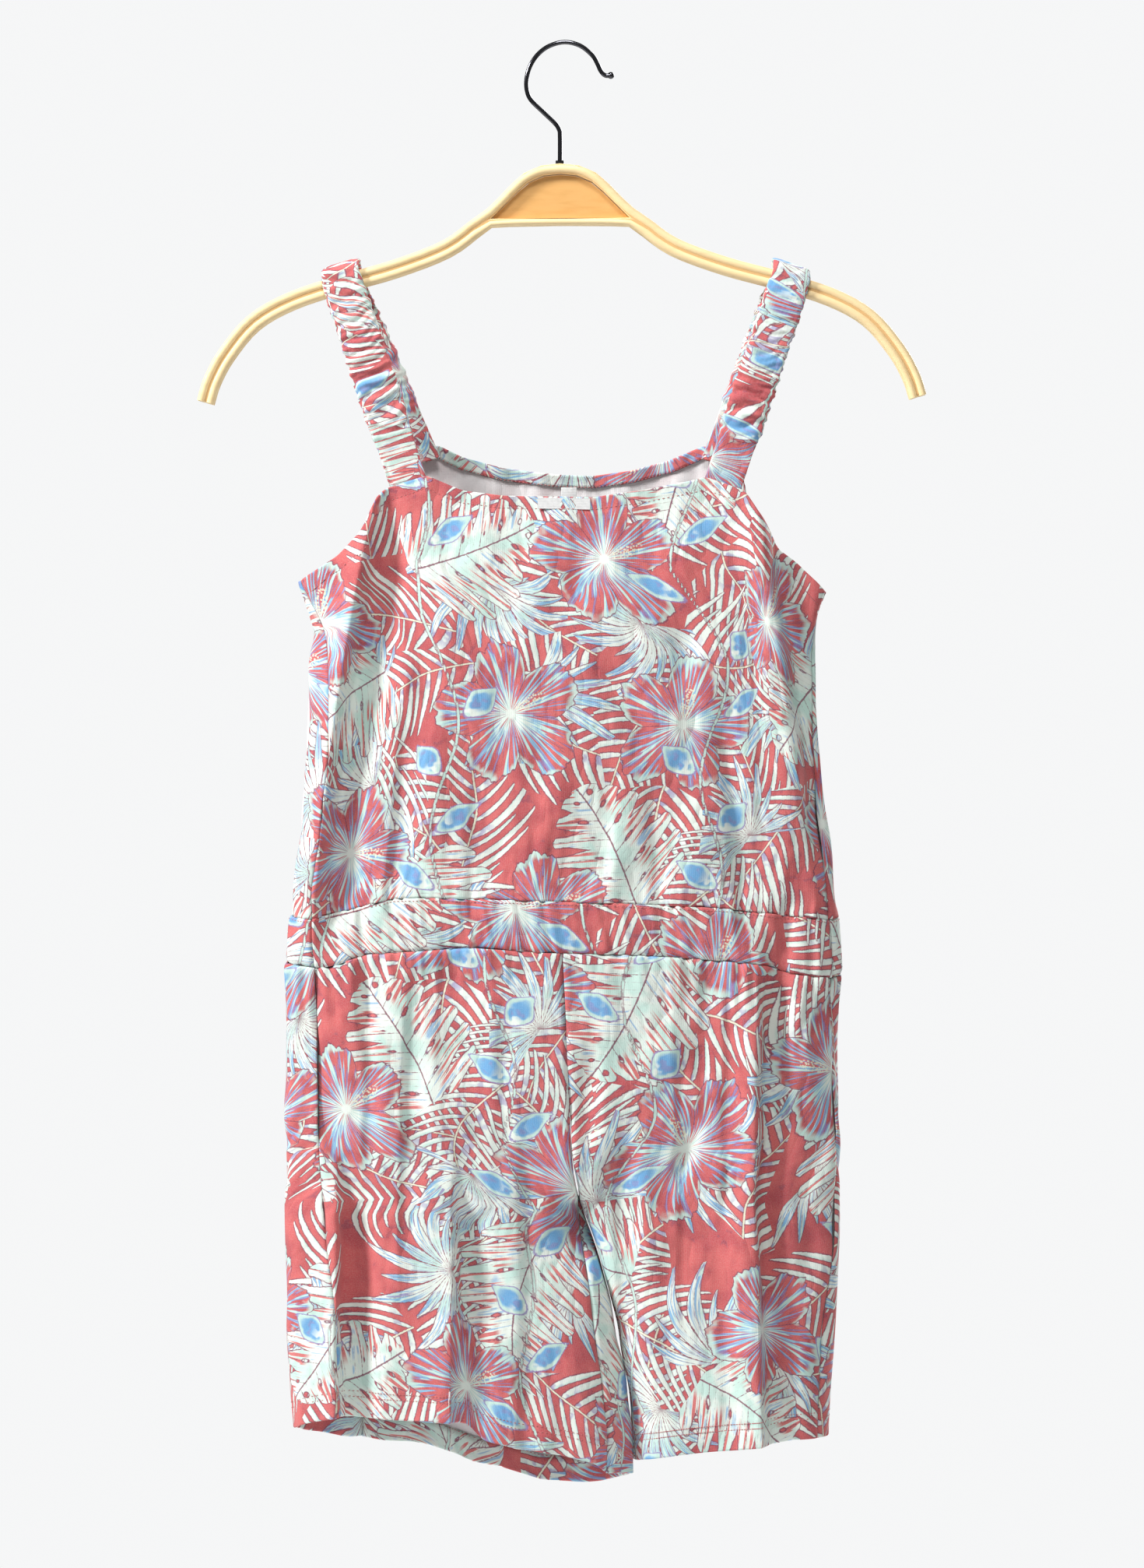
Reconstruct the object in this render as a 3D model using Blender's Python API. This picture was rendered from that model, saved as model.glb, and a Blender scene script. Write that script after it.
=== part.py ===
"""A child's sleeveless romper with gathered straps, hanging on a moulded hanger.

Lengths in the tables and named sizes are millimetres, and MM turns them into metres.
+Z is up and the front faces -Y. The origin is the top of the hook's inside, where a
rail carries it. Left and right are the viewer's, seen from the front.
"""

from functools import lru_cache
from math import asin, ceil, copysign, cos, exp, pi, radians, sin

import bmesh
import bpy
from mathutils import Matrix, Vector

MM = 0.001

# Cloth
WALL = 1.2
SEAM_GAP = 0.5
SQUARENESS = 0.6  # below 1, a ring's front and back are flatter than an ellipse's
TRUNK = (  # the ring round both legs and the bodice, with the side seams' places in front
    # z, left end, right end, front depth, back depth, left seam, right seam
    (-205.0, -143.3, 148.0, 11.0, 10.0, -142.7, 147.2),
    (-237.0, -143.3, 148.0, 13.0, 12.0, -142.7, 147.2),
    (-293.6, -143.3, 148.0, 17.0, 15.0, -142.7, 147.0),
    (-312.0, -137.0, 142.0, 18.5, 16.0, -132.5, 140.0),
    (-322.0, -134.0, 140.7, 19.0, 16.5, -128.5, 138.6),
    (-335.0, -136.3, 139.8, 20.0, 17.0, -127.0, 137.6),
    (-384.0, -138.2, 141.5, 21.0, 18.0, -126.0, 138.2),
    (-422.0, -141.0, 145.0, 21.0, 18.0, -128.5, 141.0),
    (-465.0, -145.3, 150.5, 20.0, 17.0, -135.5, 146.0),
    (-497.0, -147.9, 153.0, 20.0, 17.0, -133.5, 147.5),
    (-529.0, -150.2, 153.8, 23.0, 19.0, -133.5, 149.0),
    (-593.0, -150.4, 154.2, 25.0, 22.0, -132.0, 151.5),
    (-656.0, -150.4, 152.0, 27.0, 24.0, -126.8, 149.0),
    (-699.0, -150.4, 150.4, 28.5, 25.5, -121.0, 143.6),
    (-756.0, -147.4, 147.9, 30.0, 27.0, -118.0, 140.0),
)
FRONT_TOP = (  # armhole, strap end, neckline, strap end, armhole: x, z
    (-142.8, -293.6),
    (-133.0, -288.0),
    (-120.6, -280.0),
    (-108.3, -267.6),
    (-101.1, -251.5),
    (-94.0, -243.3),
    (-72.0, -236.1),
    (-52.5, -244.2),
    (-31.3, -247.2),
    (18.1, -248.1),
    (46.2, -243.8),
    (67.4, -239.6),
    (78.5, -236.9),
    (99.8, -244.2),
    (110.4, -259.6),
    (118.5, -275.7),
    (132.1, -287.2),
    (147.2, -299.5),
)
BACK_TOP = (
    (-142.8, -293.6),
    (-122.0, -287.5),
    (-108.0, -277.0),
    (-99.0, -262.0),
    (-91.0, -243.0),
    (-89.4, -225.7),
    (-67.6, -218.3),
    (-53.8, -225.0),
    (-31.3, -231.0),
    (-3.2, -234.4),
    (18.1, -235.3),
    (39.4, -232.3),
    (60.2, -226.8),
    (79.4, -218.8),
    (101.0, -226.2),
    (101.8, -243.0),
    (107.0, -262.0),
    (116.0, -279.0),
    (131.0, -290.0),
    (147.2, -299.5),
)
WAIST_TOP = (  # x, z of the seam over the waistband
    (-150.0, -479.0),
    (-137.0, -478.3),
    (-109.6, -471.9),
    (-87.9, -466.5),
    (-64.9, -466.3),
    (35.1, -469.3),
    (89.6, -471.9),
    (121.9, -475.7),
    (155.0, -479.0),
)
WAIST_FOOT = (  # x, z of the seam under it
    (-150.0, -506.0),
    (-124.9, -503.4),
    (-106.2, -497.0),
    (-48.7, -493.2),
    (-8.3, -496.1),
    (35.1, -497.0),
    (73.0, -499.1),
    (111.3, -502.9),
    (126.2, -508.0),
    (155.0, -510.5),
)
ARMPIT_Z = -293.6
WIDEST_COLUMN = 18.0
WIDEST_SHARE = 0.055  # of the way across a bodice panel, by angle
WAIST_Z = -485.0
BACK_WAIST_TOP = (-471.0, -478.2, -478.1)  # middle, left seam, right seam
BACK_WAIST_FOOT = (-496.4, -504.3, -509.8)
CROTCH_Z = -632.0
FRONT_RISE_CURVE = 42.0  # height over which the front centre seam turns in to the crotch
BACK_RISE_CURVE = 60.0
LEG_SPLIT = (-580.0, -634.0)  # from one ring round both legs to a ring round each
INNER_LEG = (  # z, centre seam and below it the left leg's inseam, the line where the legs meet
    (-496.0, 1.5, 1.5),
    (-530.0, 3.2, 3.2),
    (-565.0, 4.5, 4.5),
    (-603.0, 6.6, 6.6),
    (-632.0, 10.5, 10.5),
    (-648.0, 12.0, 17.5),
    (-672.0, 15.1, 24.5),
    (-701.0, 18.9, 31.0),
    (-730.0, 23.6, 36.5),
    (-756.0, 26.0, 40.0),
    (-790.0, 25.3, 41.0),
)
LEG_CLEARANCE = 1.5
INSEAM_SETTLES = 45.0  # below the crotch, the drop in which the inseams reach their own lines
PULLED_FROM = 0.7  # share of the way across a leg panel where its inner seam starts to draw it in
HEMS = {  # share of the way from the side seam to the inner edge, z
    ("left", "front"): (
        (0.0, -747.6),
        (0.15, -749.0),
        (0.44, -750.6),
        (0.50, -760.4),
        (0.64, -765.5),
        (0.78, -768.5),
        (0.93, -773.1),
        (1.0, -778.5),
    ),
    ("left", "back"): (
        (0.0, -747.6),
        (0.12, -754.0),
        (0.31, -760.0),
        (0.40, -764.0),
        (0.475, -767.0),
        (0.55, -777.0),
        (0.63, -787.0),
        (0.70, -788.0),
        (0.86, -781.0),
        (1.0, -778.5),
    ),
    ("right", "front"): (
        (0.0, -759.5),
        (0.15, -760.2),
        (0.26, -763.3),
        (0.62, -768.5),
        (0.80, -771.4),
        (1.0, -773.6),
    ),
    ("right", "back"): ((0.0, -759.5), (0.15, -759.0), (0.5, -764.0), (0.85, -772.0), (1.0, -773.6)),
}
FRONT_FOLDS = (  # positive depth is a trough, negative a ridge
    # x and z at the top, x and z at the foot, bow to the side, depth, width
    (-97.0, -246.0, -133.0, -462.0, -9.0, 6.0, 7.0),
    (-84.0, -243.0, -116.0, -440.0, -6.0, -3.0, 9.0),
    (101.0, -247.0, 138.0, -420.0, 3.0, 6.0, 7.0),
    (88.0, -245.0, 120.0, -430.0, 4.0, -2.5, 9.0),
    (-28.0, -330.0, -38.0, -466.0, 0.0, 1.8, 9.0),
    (44.0, -360.0, 52.0, -466.0, 0.0, 1.5, 10.0),
    (-107.4, -458.0, -107.0, -545.0, 0.0, 3.0, 5.0),
    (-62.0, -480.0, -54.0, -560.0, 2.0, 1.8, 7.0),
    (124.9, -462.0, 114.0, -560.0, 0.0, 3.5, 5.0),
    (-122.0, -600.0, -115.0, -790.0, 0.0, 6.0, 6.0),
    (-56.0, -640.0, -54.0, -800.0, 0.0, 6.0, 6.0),
    (114.0, -520.0, 123.0, -800.0, -7.0, 7.0, 7.0),
    (70.0, -640.0, 74.0, -800.0, 0.0, 3.0, 12.0),
)
BACK_FOLDS = (
    (-88.0, -240.0, -112.0, -440.0, 0.0, 5.0, 9.0),
    (96.0, -242.0, 118.0, -440.0, 0.0, 5.0, 9.0),
    (-30.0, -380.0, -34.0, -560.0, 0.0, 2.0, 10.0),
    (48.0, -390.0, 52.0, -560.0, 0.0, 2.0, 10.0),
    (-100.0, -600.0, -96.0, -800.0, 0.0, 6.0, 9.0),
    (-48.0, -620.0, -44.0, -810.0, 0.0, 5.0, 9.0),
    (96.0, -600.0, 98.0, -800.0, 0.0, 6.0, 8.0),
)
FOLD_END = 1.0 / 6.0  # share of a fold's length over which each end fades out
SIDE_FADE = 0.7  # share of a ring's depth from which folds have their whole depth
BAND_PROUD = 0.9
BAND_GATHER = 0.6
BAND_COLUMNS = 64

# Straps: where each ply is sewn on, and how the gathers run
STRAP_WIDTH = 22.4
STRAP_WALL = 3.0
STRAP_GATHER = 0.7
STRAP_CROWN = 0.5
EDGE_SCALLOP = 0.5
ARM_CLEARANCE = 1.1
GATHERS_PER_PLY = 20
STRAPS = (  # name, x on the hanger, front end x and z, back end x and z, tilt in degrees
    ("strap_left", -119.8, -83.0, -238.9, -78.5, -221.3, 18.5),
    ("strap_right", 126.4, 89.1, -239.8, 90.2, -221.8, -17.6),
)
SMOOTH_END = 20.0  # the last stretch of a ply, which isn't gathered
GATHERS_START = 8.0
PLY_SHARE = 0.44  # of the strap's steps in each ply, with the rest over the arm
STEPS_OVER_ARM = 8
SHOULDER = 0.75  # height of the turn over the arm as a share of its half width
TURN_POWER = 0.7  # below 1, the turn is squarer than an ellipse

# Label
LABEL = (-12.1, 16.4, 0.8, 6.0, 0.6)  # left, right, drop below the neckline, height, thickness
LABEL_GAP = 0.35

# Hanger
HANGER_TILT = radians(0.45)
ARM_HALF_DEPTH = 4.3
HANGER_HALF_THICKNESS = 5.5
HANGER_ROUND = 1.0
ARM_LINE = (  # half of the middle line of the arms, from the crown to the tip: x, z
    (44.0, -98.4),
    (62.0, -111.3),
    (90.0, -122.0),
    (118.0, -129.8),
    (147.0, -139.2),
    (168.0, -151.0),
    (183.0, -168.5),
    (191.0, -183.0),
    (194.6, -194.2),
)
CROWN_TOP = ((0.0, -65.5), (10.2, -66.6), (19.6, -70.6), (26.4, -76.6), (33.2, -83.8), (40.4, -90.6))
CROWN_FOOT = ((40.0, -99.4), (0.0, -98.9))
PANEL_EDGE = ((0.0, -71.0), (9.0, -71.9), (17.5, -75.6), (24.0, -81.2), (31.0, -88.3), (38.0, -95.4))
PANEL_HALF_THICKNESS = 2.2
PANEL_FOOT = (0.0, -95.8)
PANEL_MIDDLE = (0.0, -85.0)
PANEL_GAP = 0.7
WIRE_RADIUS = 1.25
BEVEL_STEPS = 2
HOOK_LINE = (  # x, z, radius as a share of the wire's, from the crown to the turned-up tip
    (0.0, -65.2, 2.2),
    (0.0, -63.9, 2.2),
    (0.0, -63.2, 1.0),
    (0.0, -50.0, 1.0),
    (-0.5, -46.6, 1.0),
    (-2.6, -43.3, 1.0),
    (-9.4, -36.8, 1.0),
    (-15.7, -30.6, 1.0),
    (-18.0, -25.6, 1.0),
    (-18.3, -19.3, 1.0),
    (-16.5, -12.3, 1.0),
    (-12.3, -5.7, 1.0),
    (-5.9, -0.9, 1.0),
    (2.6, 1.25, 1.0),
    (11.0, -0.7, 1.0),
    (17.7, -6.0, 1.0),
    (20.5, -10.6, 1.0),
    (22.3, -14.5, 1.0),
    (24.8, -17.0, 1.0),
    (27.4, -17.0, 1.0),
    (28.2, -17.0, 1.5),
    (29.4, -17.0, 1.5),
)

PRINTED_CLOTH = ("printed_cloth", (0.70, 0.42, 0.42, 1.0), 0.85, 0.0)
HANGER_PLASTIC = ("hanger_plastic", (0.88, 0.58, 0.27, 1.0), 0.45, 0.0)
PANEL_PLASTIC = ("panel_plastic", (0.78, 0.42, 0.14, 1.0), 0.5, 0.0)
HOOK_METAL = ("hook_metal", (0.12, 0.12, 0.13, 1.0), 0.2, 1.0)
LABEL_CLOTH = ("label_cloth", (0.90, 0.90, 0.90, 1.0), 0.8, 0.0)


def mix(start, end, share):
    return start + (end - start) * share


def smooth(share):
    """0 up to 0 and 1 from 1, with a soft start and end between."""
    share = min(1.0, max(0.0, share))
    return share * share * (3.0 - 2.0 * share)


def straight(table, at, column):
    """Reads a column of a table by its first column, straight between rows."""
    falling = table[0][0] > table[-1][0]
    for start, end in zip(table, table[1:]):
        if at >= end[0] if falling else at <= end[0]:
            share = max(0.0, (at - start[0]) / (end[0] - start[0]))
            return mix(start[column], end[column], share)
    return table[-1][column]


@lru_cache(maxsize=None)
def read(table, at, column=1, reach=3.0):
    """The same, with the corners at the rows rounded over the reach."""
    return sum(straight(table, at + step * reach, column) for step in (-1.0, 0.0, 1.0)) / 3.0


def ring(left, right, front, back, angle):
    """A point of a flattened ring: -90 degrees at its left end, 0 in front and 180 behind."""
    lean = cos(angle)
    depth = front if lean > 0.0 else back
    x = (left + right) / 2.0 + (right - left) / 2.0 * sin(angle)
    return Vector((x, -depth * copysign(abs(lean) ** SQUARENESS, lean), 0.0))


def front_angle(left, right, x):
    share = (x - (left + right) / 2.0) / ((right - left) / 2.0)
    return asin(min(1.0, max(-1.0, share)))


def trunk(z):
    return [read(TRUNK, z, column) for column in range(1, 7)]


def fold_depth(folds, x, z):
    """How far the cloth lies in from its smooth ring, over all folds that pass near x at z."""
    total = 0.0
    for top_x, top_z, foot_x, foot_z, bow, depth, width in folds:
        down = (top_z - z) / (top_z - foot_z)
        if 0.0 < down < 1.0:
            middle = mix(top_x, foot_x, down) + 4.0 * bow * down * (1.0 - down)
            fade = smooth(min(down, 1.0 - down) / FOLD_END)
            total += depth * fade * exp(-(((x - middle) / width) ** 2))
    return total


def folded(point, front, back):
    """The point moved in or out by the folds of the side that it is on."""
    if point.y < 0.0:
        turned = smooth(-point.y / front / SIDE_FADE)
        point.y += fold_depth(FRONT_FOLDS, point.x, point.z) * turned
    else:
        turned = smooth(point.y / back / SIDE_FADE)
        point.y -= fold_depth(BACK_FOLDS, point.x, point.z) * turned
    return point


def front_share(left, right, seam_left, seam_right, across):
    """An angle across the front, spaced half by width and half by angle, so that the sides are finer."""
    start, end = (front_angle(left, right, x) for x in (seam_left, seam_right))
    even = mix(seam_left, seam_right, across)
    turned = ring(left, right, 1.0, 1.0, mix(start, end, across)).x
    return front_angle(left, right, (even + turned) / 2.0)


def panel_turns(face, z):
    """The angles at which a bodice panel or waistband starts and ends: left to right, or on round the back."""
    left, right, _, _, seam_left, seam_right = trunk(z)
    if face == "front":
        seams = (seam_left + SEAM_GAP / 2.0, seam_right - SEAM_GAP / 2.0)
        return [front_angle(left, right, x) for x in seams]
    start = front_angle(left, right, seam_right + SEAM_GAP / 2.0)
    return start, front_angle(left, right, seam_left - SEAM_GAP / 2.0) + 2.0 * pi


def body_point(face, across, z, proud=0.0):
    """A point of the bodice or waistband, across its panel by angle."""
    left, right, front, back = trunk(z)[:4]
    angle = mix(*panel_turns(face, z), across)
    point = ring(left - proud, right + proud, front + proud, back + proud, angle)
    point.z = z
    return folded(point, front, back)


def top_line(face, x):
    return read(FRONT_TOP if face == "front" else BACK_TOP, x, reach=1.0)


def waist_line(face, x, across, front_table, back_line):
    """The height of a waist seam, by x in front and by the share of the way round behind."""
    if face == "front":
        return read(front_table, x)
    middle, at_left, at_right = back_line
    rise = middle - (at_left + at_right) / 2.0
    return mix(at_right, at_left, across) + rise * sin(pi * across)


def bodice_columns(face):
    """Where the columns run, so that one starts at each row of the panel's top edge."""
    table = FRONT_TOP if face == "front" else BACK_TOP
    left, right = trunk(ARMPIT_Z)[:2]
    start, end = panel_turns(face, ARMPIT_Z)
    places = []
    for (x, _), (next_x, _) in zip(table, table[1:]):
        parts = ceil((next_x - x) / WIDEST_COLUMN)
        places += [mix(x, next_x, part / parts) for part in range(parts)]
    angles = [front_angle(left, right, x) for x in places[1:]]
    if face == "back":
        angles = [pi - angle for angle in reversed(angles)]
    shares = [0.0] + [(angle - start) / (end - start) for angle in angles] + [1.0]
    columns = []
    for share, next_share in zip(shares, shares[1:]):
        parts = ceil((next_share - share) / WIDEST_SHARE)
        columns += [mix(share, next_share, part / parts) for part in range(parts)]
    return columns + [1.0]


def bodice_point(face, across, down):
    """Each column runs from the neck or armhole edge down to the waist seam."""
    top = top_line(face, body_point(face, across, ARMPIT_Z).x)
    waist_x = body_point(face, across, WAIST_Z).x
    foot = waist_line(face, waist_x, across, WAIST_TOP, BACK_WAIST_TOP) + SEAM_GAP / 2.0
    return body_point(face, across, mix(top, foot, down))


def band_point(face, across, down, gather=0.0):
    x = body_point(face, across, WAIST_Z).x
    top = waist_line(face, x, across, WAIST_TOP, BACK_WAIST_TOP) - SEAM_GAP / 2.0
    foot = waist_line(face, x, across, WAIST_FOOT, BACK_WAIST_FOOT) + SEAM_GAP / 2.0
    return body_point(face, across, mix(top, foot, down), BAND_PROUD * sin(pi * down) + gather)


def inner_edge(side, face, z):
    """Where a leg panel's inner edge runs: down the centre seam to the crotch, then down the inseam."""
    front, back = trunk(z)[2:4]
    into_left = -SEAM_GAP / 2.0 if side == "left" else SEAM_GAP / 2.0
    into_face = -SEAM_GAP / 2.0 if face == "front" else SEAM_GAP / 2.0
    inseam, meeting = read(INNER_LEG, z, 1), read(INNER_LEG, z, 2)
    if z >= CROTCH_Z:
        curve = FRONT_RISE_CURVE if face == "front" else BACK_RISE_CURVE
        turned = max(0.0, 1.0 - (z - CROTCH_Z) / curve)
        depth = (1.0 - turned**2) ** 0.5
        y = (-front if face == "front" else back) * depth
        return Vector((inseam + into_left, y + into_face, z))
    below = smooth((CROTCH_Z - z) / INSEAM_SETTLES)
    if side == "right":
        return Vector((meeting + mix(into_left, LEG_CLEARANCE, below), into_face, z))
    left = trunk(z)[0]
    end = ring(left, meeting, front, back, front_angle(left, meeting, inseam))
    return Vector((inseam + mix(into_left, into_face, below), end.y * below + into_face, z))


def leg_point(side, face, across, down):
    """Each column runs from the waist seam to the hem, and across from the side seam to the inner edge."""
    at_waist = trunk(WAIST_Z)
    seam_x = at_waist[4] if side == "left" else at_waist[5]
    share = front_share(*at_waist[:2], seam_x, INNER_LEG[0][1], across)
    waist_x = ring(*at_waist[:4], share).x
    round_back = across / 2.0 if side == "right" else 1.0 - across / 2.0
    top = waist_line(face, waist_x, round_back, WAIST_FOOT, BACK_WAIST_FOOT) - SEAM_GAP / 2.0
    z = mix(top, straight(HEMS[side, face], across, 1), down)

    left, right, front, back, seam_left, seam_right = trunk(z)
    outward = SEAM_GAP / 2.0 if face == "back" else -SEAM_GAP / 2.0
    seam = seam_left - outward if side == "left" else seam_right + outward
    inseam, meeting = read(INNER_LEG, z, 1), read(INNER_LEG, z, 2)
    below = smooth((CROTCH_Z - z) / INSEAM_SETTLES)
    ends = (left, meeting) if side == "left" else (meeting + LEG_CLEARANCE * below, right)
    inner_turn = {
        ("left", "front"): front_angle(*ends, inseam),
        ("left", "back"): front_angle(*ends, inseam) - 2.0 * pi,
        ("right", "front"): -pi / 2.0,
        ("right", "back"): 1.5 * pi,
    }[side, face]
    if face == "front":
        body_turn = front_share(left, right, seam, inseam, across)
    else:
        body_turn = mix(front_angle(left, right, seam), -pi if side == "left" else pi, across)
    leg_turn = mix(front_angle(*ends, seam), inner_turn, across)
    split = smooth((LEG_SPLIT[0] - z) / (LEG_SPLIT[0] - LEG_SPLIT[1]))

    def section(share_turns):
        whole = ring(left, right, front, back, share_turns[0])
        single = ring(*ends, front, back, share_turns[1])
        return whole.lerp(single, split)

    point = section((body_turn, leg_turn))
    point.z = z
    if face == "front":
        last = section((front_angle(left, right, inseam), inner_turn))
    else:
        last = section((-pi if side == "left" else pi, inner_turn))
    last.z = z
    pull = inner_edge(side, face, z) - last
    point += pull * smooth((across - PULLED_FROM) / (1.0 - PULLED_FROM))
    return folded(point, front, back)


def material(name, colour, roughness, metallic):
    found = bpy.data.materials.get(name)
    if found:
        return found
    made = bpy.data.materials.new(name)
    made.use_nodes = True
    shader = made.node_tree.nodes["Principled BSDF"]
    shader.inputs["Base Color"].default_value = colour
    shader.inputs["Roughness"].default_value = roughness
    shader.inputs["Metallic"].default_value = metallic
    return made


def add_object(name, data, finish):
    made = bpy.data.objects.new(name, data)
    data.materials.append(material(*finish))
    collection.objects.link(made)
    return made


def facing(place, across, down):
    """The outward direction of a surface, from two short steps along it."""
    step = 0.004
    sideways = place(across + step, down) - place(across - step, down)
    downwards = place(across, down + step) - place(across, down - step)
    return downwards.cross(sideways).normalized()


def leg_outward(side, face, across, down):
    """The side that a leg panel's columns run to turns its surface over, so that is turned back."""
    way = facing(lambda share, fall: leg_point(side, face, share, fall), across, down)
    return -way if (side == "right") == (face == "front") else way


def cloth(name, columns, rows, place, outward=None, wall=WALL, finish=PRINTED_CLOTH):
    """A panel: a grid laid on a surface, with its wall put on inwards, square to the surface."""
    panel = bmesh.new()
    spot = panel.verts.layers.float_vector.new("spot")
    bmesh.ops.create_grid(panel, x_segments=columns, y_segments=rows, size=0.5)
    for vert in panel.verts:
        vert[spot] = (vert.co.x + 0.5, 0.5 - vert.co.y, 0.0)
    backed = bmesh.ops.extrude_face_region(panel, geom=panel.faces[:], use_keep_orig=True)["geom"]
    inner = {item for item in backed if isinstance(item, bmesh.types.BMVert)}
    for vert in panel.verts:
        across, down, _ = vert[spot]
        point = place(across, down)
        if vert in inner:
            way = outward(across, down) if outward else facing(place, across, down)
            point = point - way * wall
        vert.co = point * MM
    panel.verts.layers.float_vector.remove(spot)
    bmesh.ops.recalc_face_normals(panel, faces=panel.faces)
    mesh = bpy.data.meshes.new(name)
    panel.to_mesh(mesh)
    panel.free()
    mesh.shade_smooth()
    mesh.set_sharp_from_angle(angle=radians(50.0))
    return add_object(name, mesh, finish)


def arm_middle():
    """The arms' middle line, through the hand-set points on a smooth curve."""
    points = [Vector(point) for point in ARM_LINE]
    ends = [points[0] * 2.0 - points[1]] + points + [points[-1] * 2.0 - points[-2]]
    line = []
    for before, start, end, after in zip(ends, ends[1:], ends[2:], ends[3:]):
        for share in (0.0, 0.5):
            leaving, arriving = (end - before) / 2.0, (after - start) / 2.0
            bend = share * (1.0 - share)
            along = leaving * bend * (1.0 - share) - arriving * bend * share
            line.append(start.lerp(end, smooth(share)) + along)
    return line + [points[-1]]


def arm_edge(above):
    """The upper or lower edge of an arm, square to its middle line."""
    line = arm_middle()
    edge = []
    for index, point in enumerate(line):
        along = line[min(index + 1, len(line) - 1)] - line[max(index - 1, 0)]
        across = Vector((-along.y, along.x)).normalized()
        edge.append(point + across * (ARM_HALF_DEPTH if above else -ARM_HALF_DEPTH))
    return edge


def tilted(point):
    """The hanger hangs a little lower on the left: turned about the foot of its hook."""
    pivot = Vector(CROWN_TOP[0])
    return pivot + Matrix.Rotation(HANGER_TILT, 2) @ (Vector(point) - pivot)


def flat_outline(name, outlines, half_thickness, finish):
    """A plate standing in the XZ plane, with rounded edges. A second outline cuts a hole."""
    curve = bpy.data.curves.new(name, "CURVE")
    curve.dimensions = "2D"
    curve.fill_mode = "BOTH"
    curve.extrude = (half_thickness - HANGER_ROUND) * MM
    curve.bevel_depth = HANGER_ROUND * MM
    curve.bevel_resolution = 1
    curve.offset = -HANGER_ROUND * MM
    for outline in outlines:
        spline = curve.splines.new("POLY")
        spline.points.add(len(outline) - 1)
        spline.use_cyclic_u = True
        for corner, point in zip(spline.points, outline):
            corner.co = (*(tilted(point) * MM), 0.0, 1.0)
    made = add_object(name, curve, finish)
    made.rotation_euler = (pi / 2.0, 0.0, 0.0)
    return made


def both_halves(half):
    """A closed outline from its right half, which starts and ends on the middle line."""
    return half + [Vector((-point[0], point[1])) for point in reversed(half) if point[0] > 0.01]


def build_hanger():
    upper, lower = arm_edge(True), arm_edge(False)
    half = [Vector(point) for point in CROWN_TOP] + upper[1:] + lower[::-1][:-1]
    outer = both_halves(half + [Vector(point) for point in CROWN_FOOT])
    hole = both_halves([Vector(point) for point in PANEL_EDGE + (PANEL_FOOT,)])
    flat_outline("hanger_body", (outer, hole), HANGER_HALF_THICKNESS, HANGER_PLASTIC)


def build_crown_panel():
    """The thin panel in the crown, set into the opening with a running gap."""
    middle = Vector(PANEL_MIDDLE)
    plate = []
    for point in both_halves([Vector(point) for point in PANEL_EDGE + (PANEL_FOOT,)]):
        plate.append(point + (middle - point).normalized() * PANEL_GAP)
    made = flat_outline("hanger_panel", (plate,), PANEL_HALF_THICKNESS, PANEL_PLASTIC)
    made.data.bevel_depth = 0.0
    made.data.offset = 0.0
    made.data.extrude = PANEL_HALF_THICKNESS * MM


def build_hook():
    curve = bpy.data.curves.new("hanger_hook", "CURVE")
    curve.dimensions = "3D"
    curve.bevel_depth = WIRE_RADIUS * MM
    curve.bevel_resolution = BEVEL_STEPS
    curve.use_fill_caps = True
    spline = curve.splines.new("POLY")
    spline.points.add(len(HOOK_LINE) - 1)
    for point, (x, z, radius) in zip(spline.points, HOOK_LINE):
        point.co = (x * MM, 0.0, z * MM, 1.0)
        point.radius = radius
    add_object("hanger_hook", curve, HOOK_METAL)


def arm_top(x):
    """The height of the arm's upper edge at x, as it hangs."""
    mirrored = [Vector((copysign(point.x, x), point.y)) for point in arm_edge(True)]
    table = [tuple(tilted(point)) for point in mirrored]
    return straight(table, x, 1)


def strap_line(strap, share):
    """The outer surface's middle line from the front end, over the arm and down to the back end."""
    _, top_x, front_x, front_z, back_x, back_z, _ = strap
    over = arm_top(top_x) + ARM_CLEARANCE + STRAP_WALL
    beside = HANGER_HALF_THICKNESS + ARM_CLEARANCE + STRAP_WALL
    shoulder_z = over - beside * SHOULDER
    front_end = Vector((front_x, body_depth("front", front_x, front_z), front_z))
    back_end = Vector((back_x, body_depth("back", back_x, back_z), back_z))
    if share < PLY_SHARE:
        return front_end.lerp(Vector((top_x, -beside, shoulder_z)), share / PLY_SHARE)
    if share > 1.0 - PLY_SHARE:
        return back_end.lerp(Vector((top_x, beside, shoulder_z)), (1.0 - share) / PLY_SHARE)
    turn = pi * (share - PLY_SHARE) / (1.0 - 2.0 * PLY_SHARE)
    y = -beside * copysign(abs(cos(turn)) ** TURN_POWER, cos(turn))
    return Vector((top_x, y, shoulder_z + (over - shoulder_z) * sin(turn) ** TURN_POWER))


def body_depth(face, x, z):
    """The y of the bodice's outer surface at x and z."""
    left, right, front, back = trunk(z)[:4]
    angle = front_angle(left, right, x)
    return ring(left, right, front, back, angle if face == "front" else pi - angle).y


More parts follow.
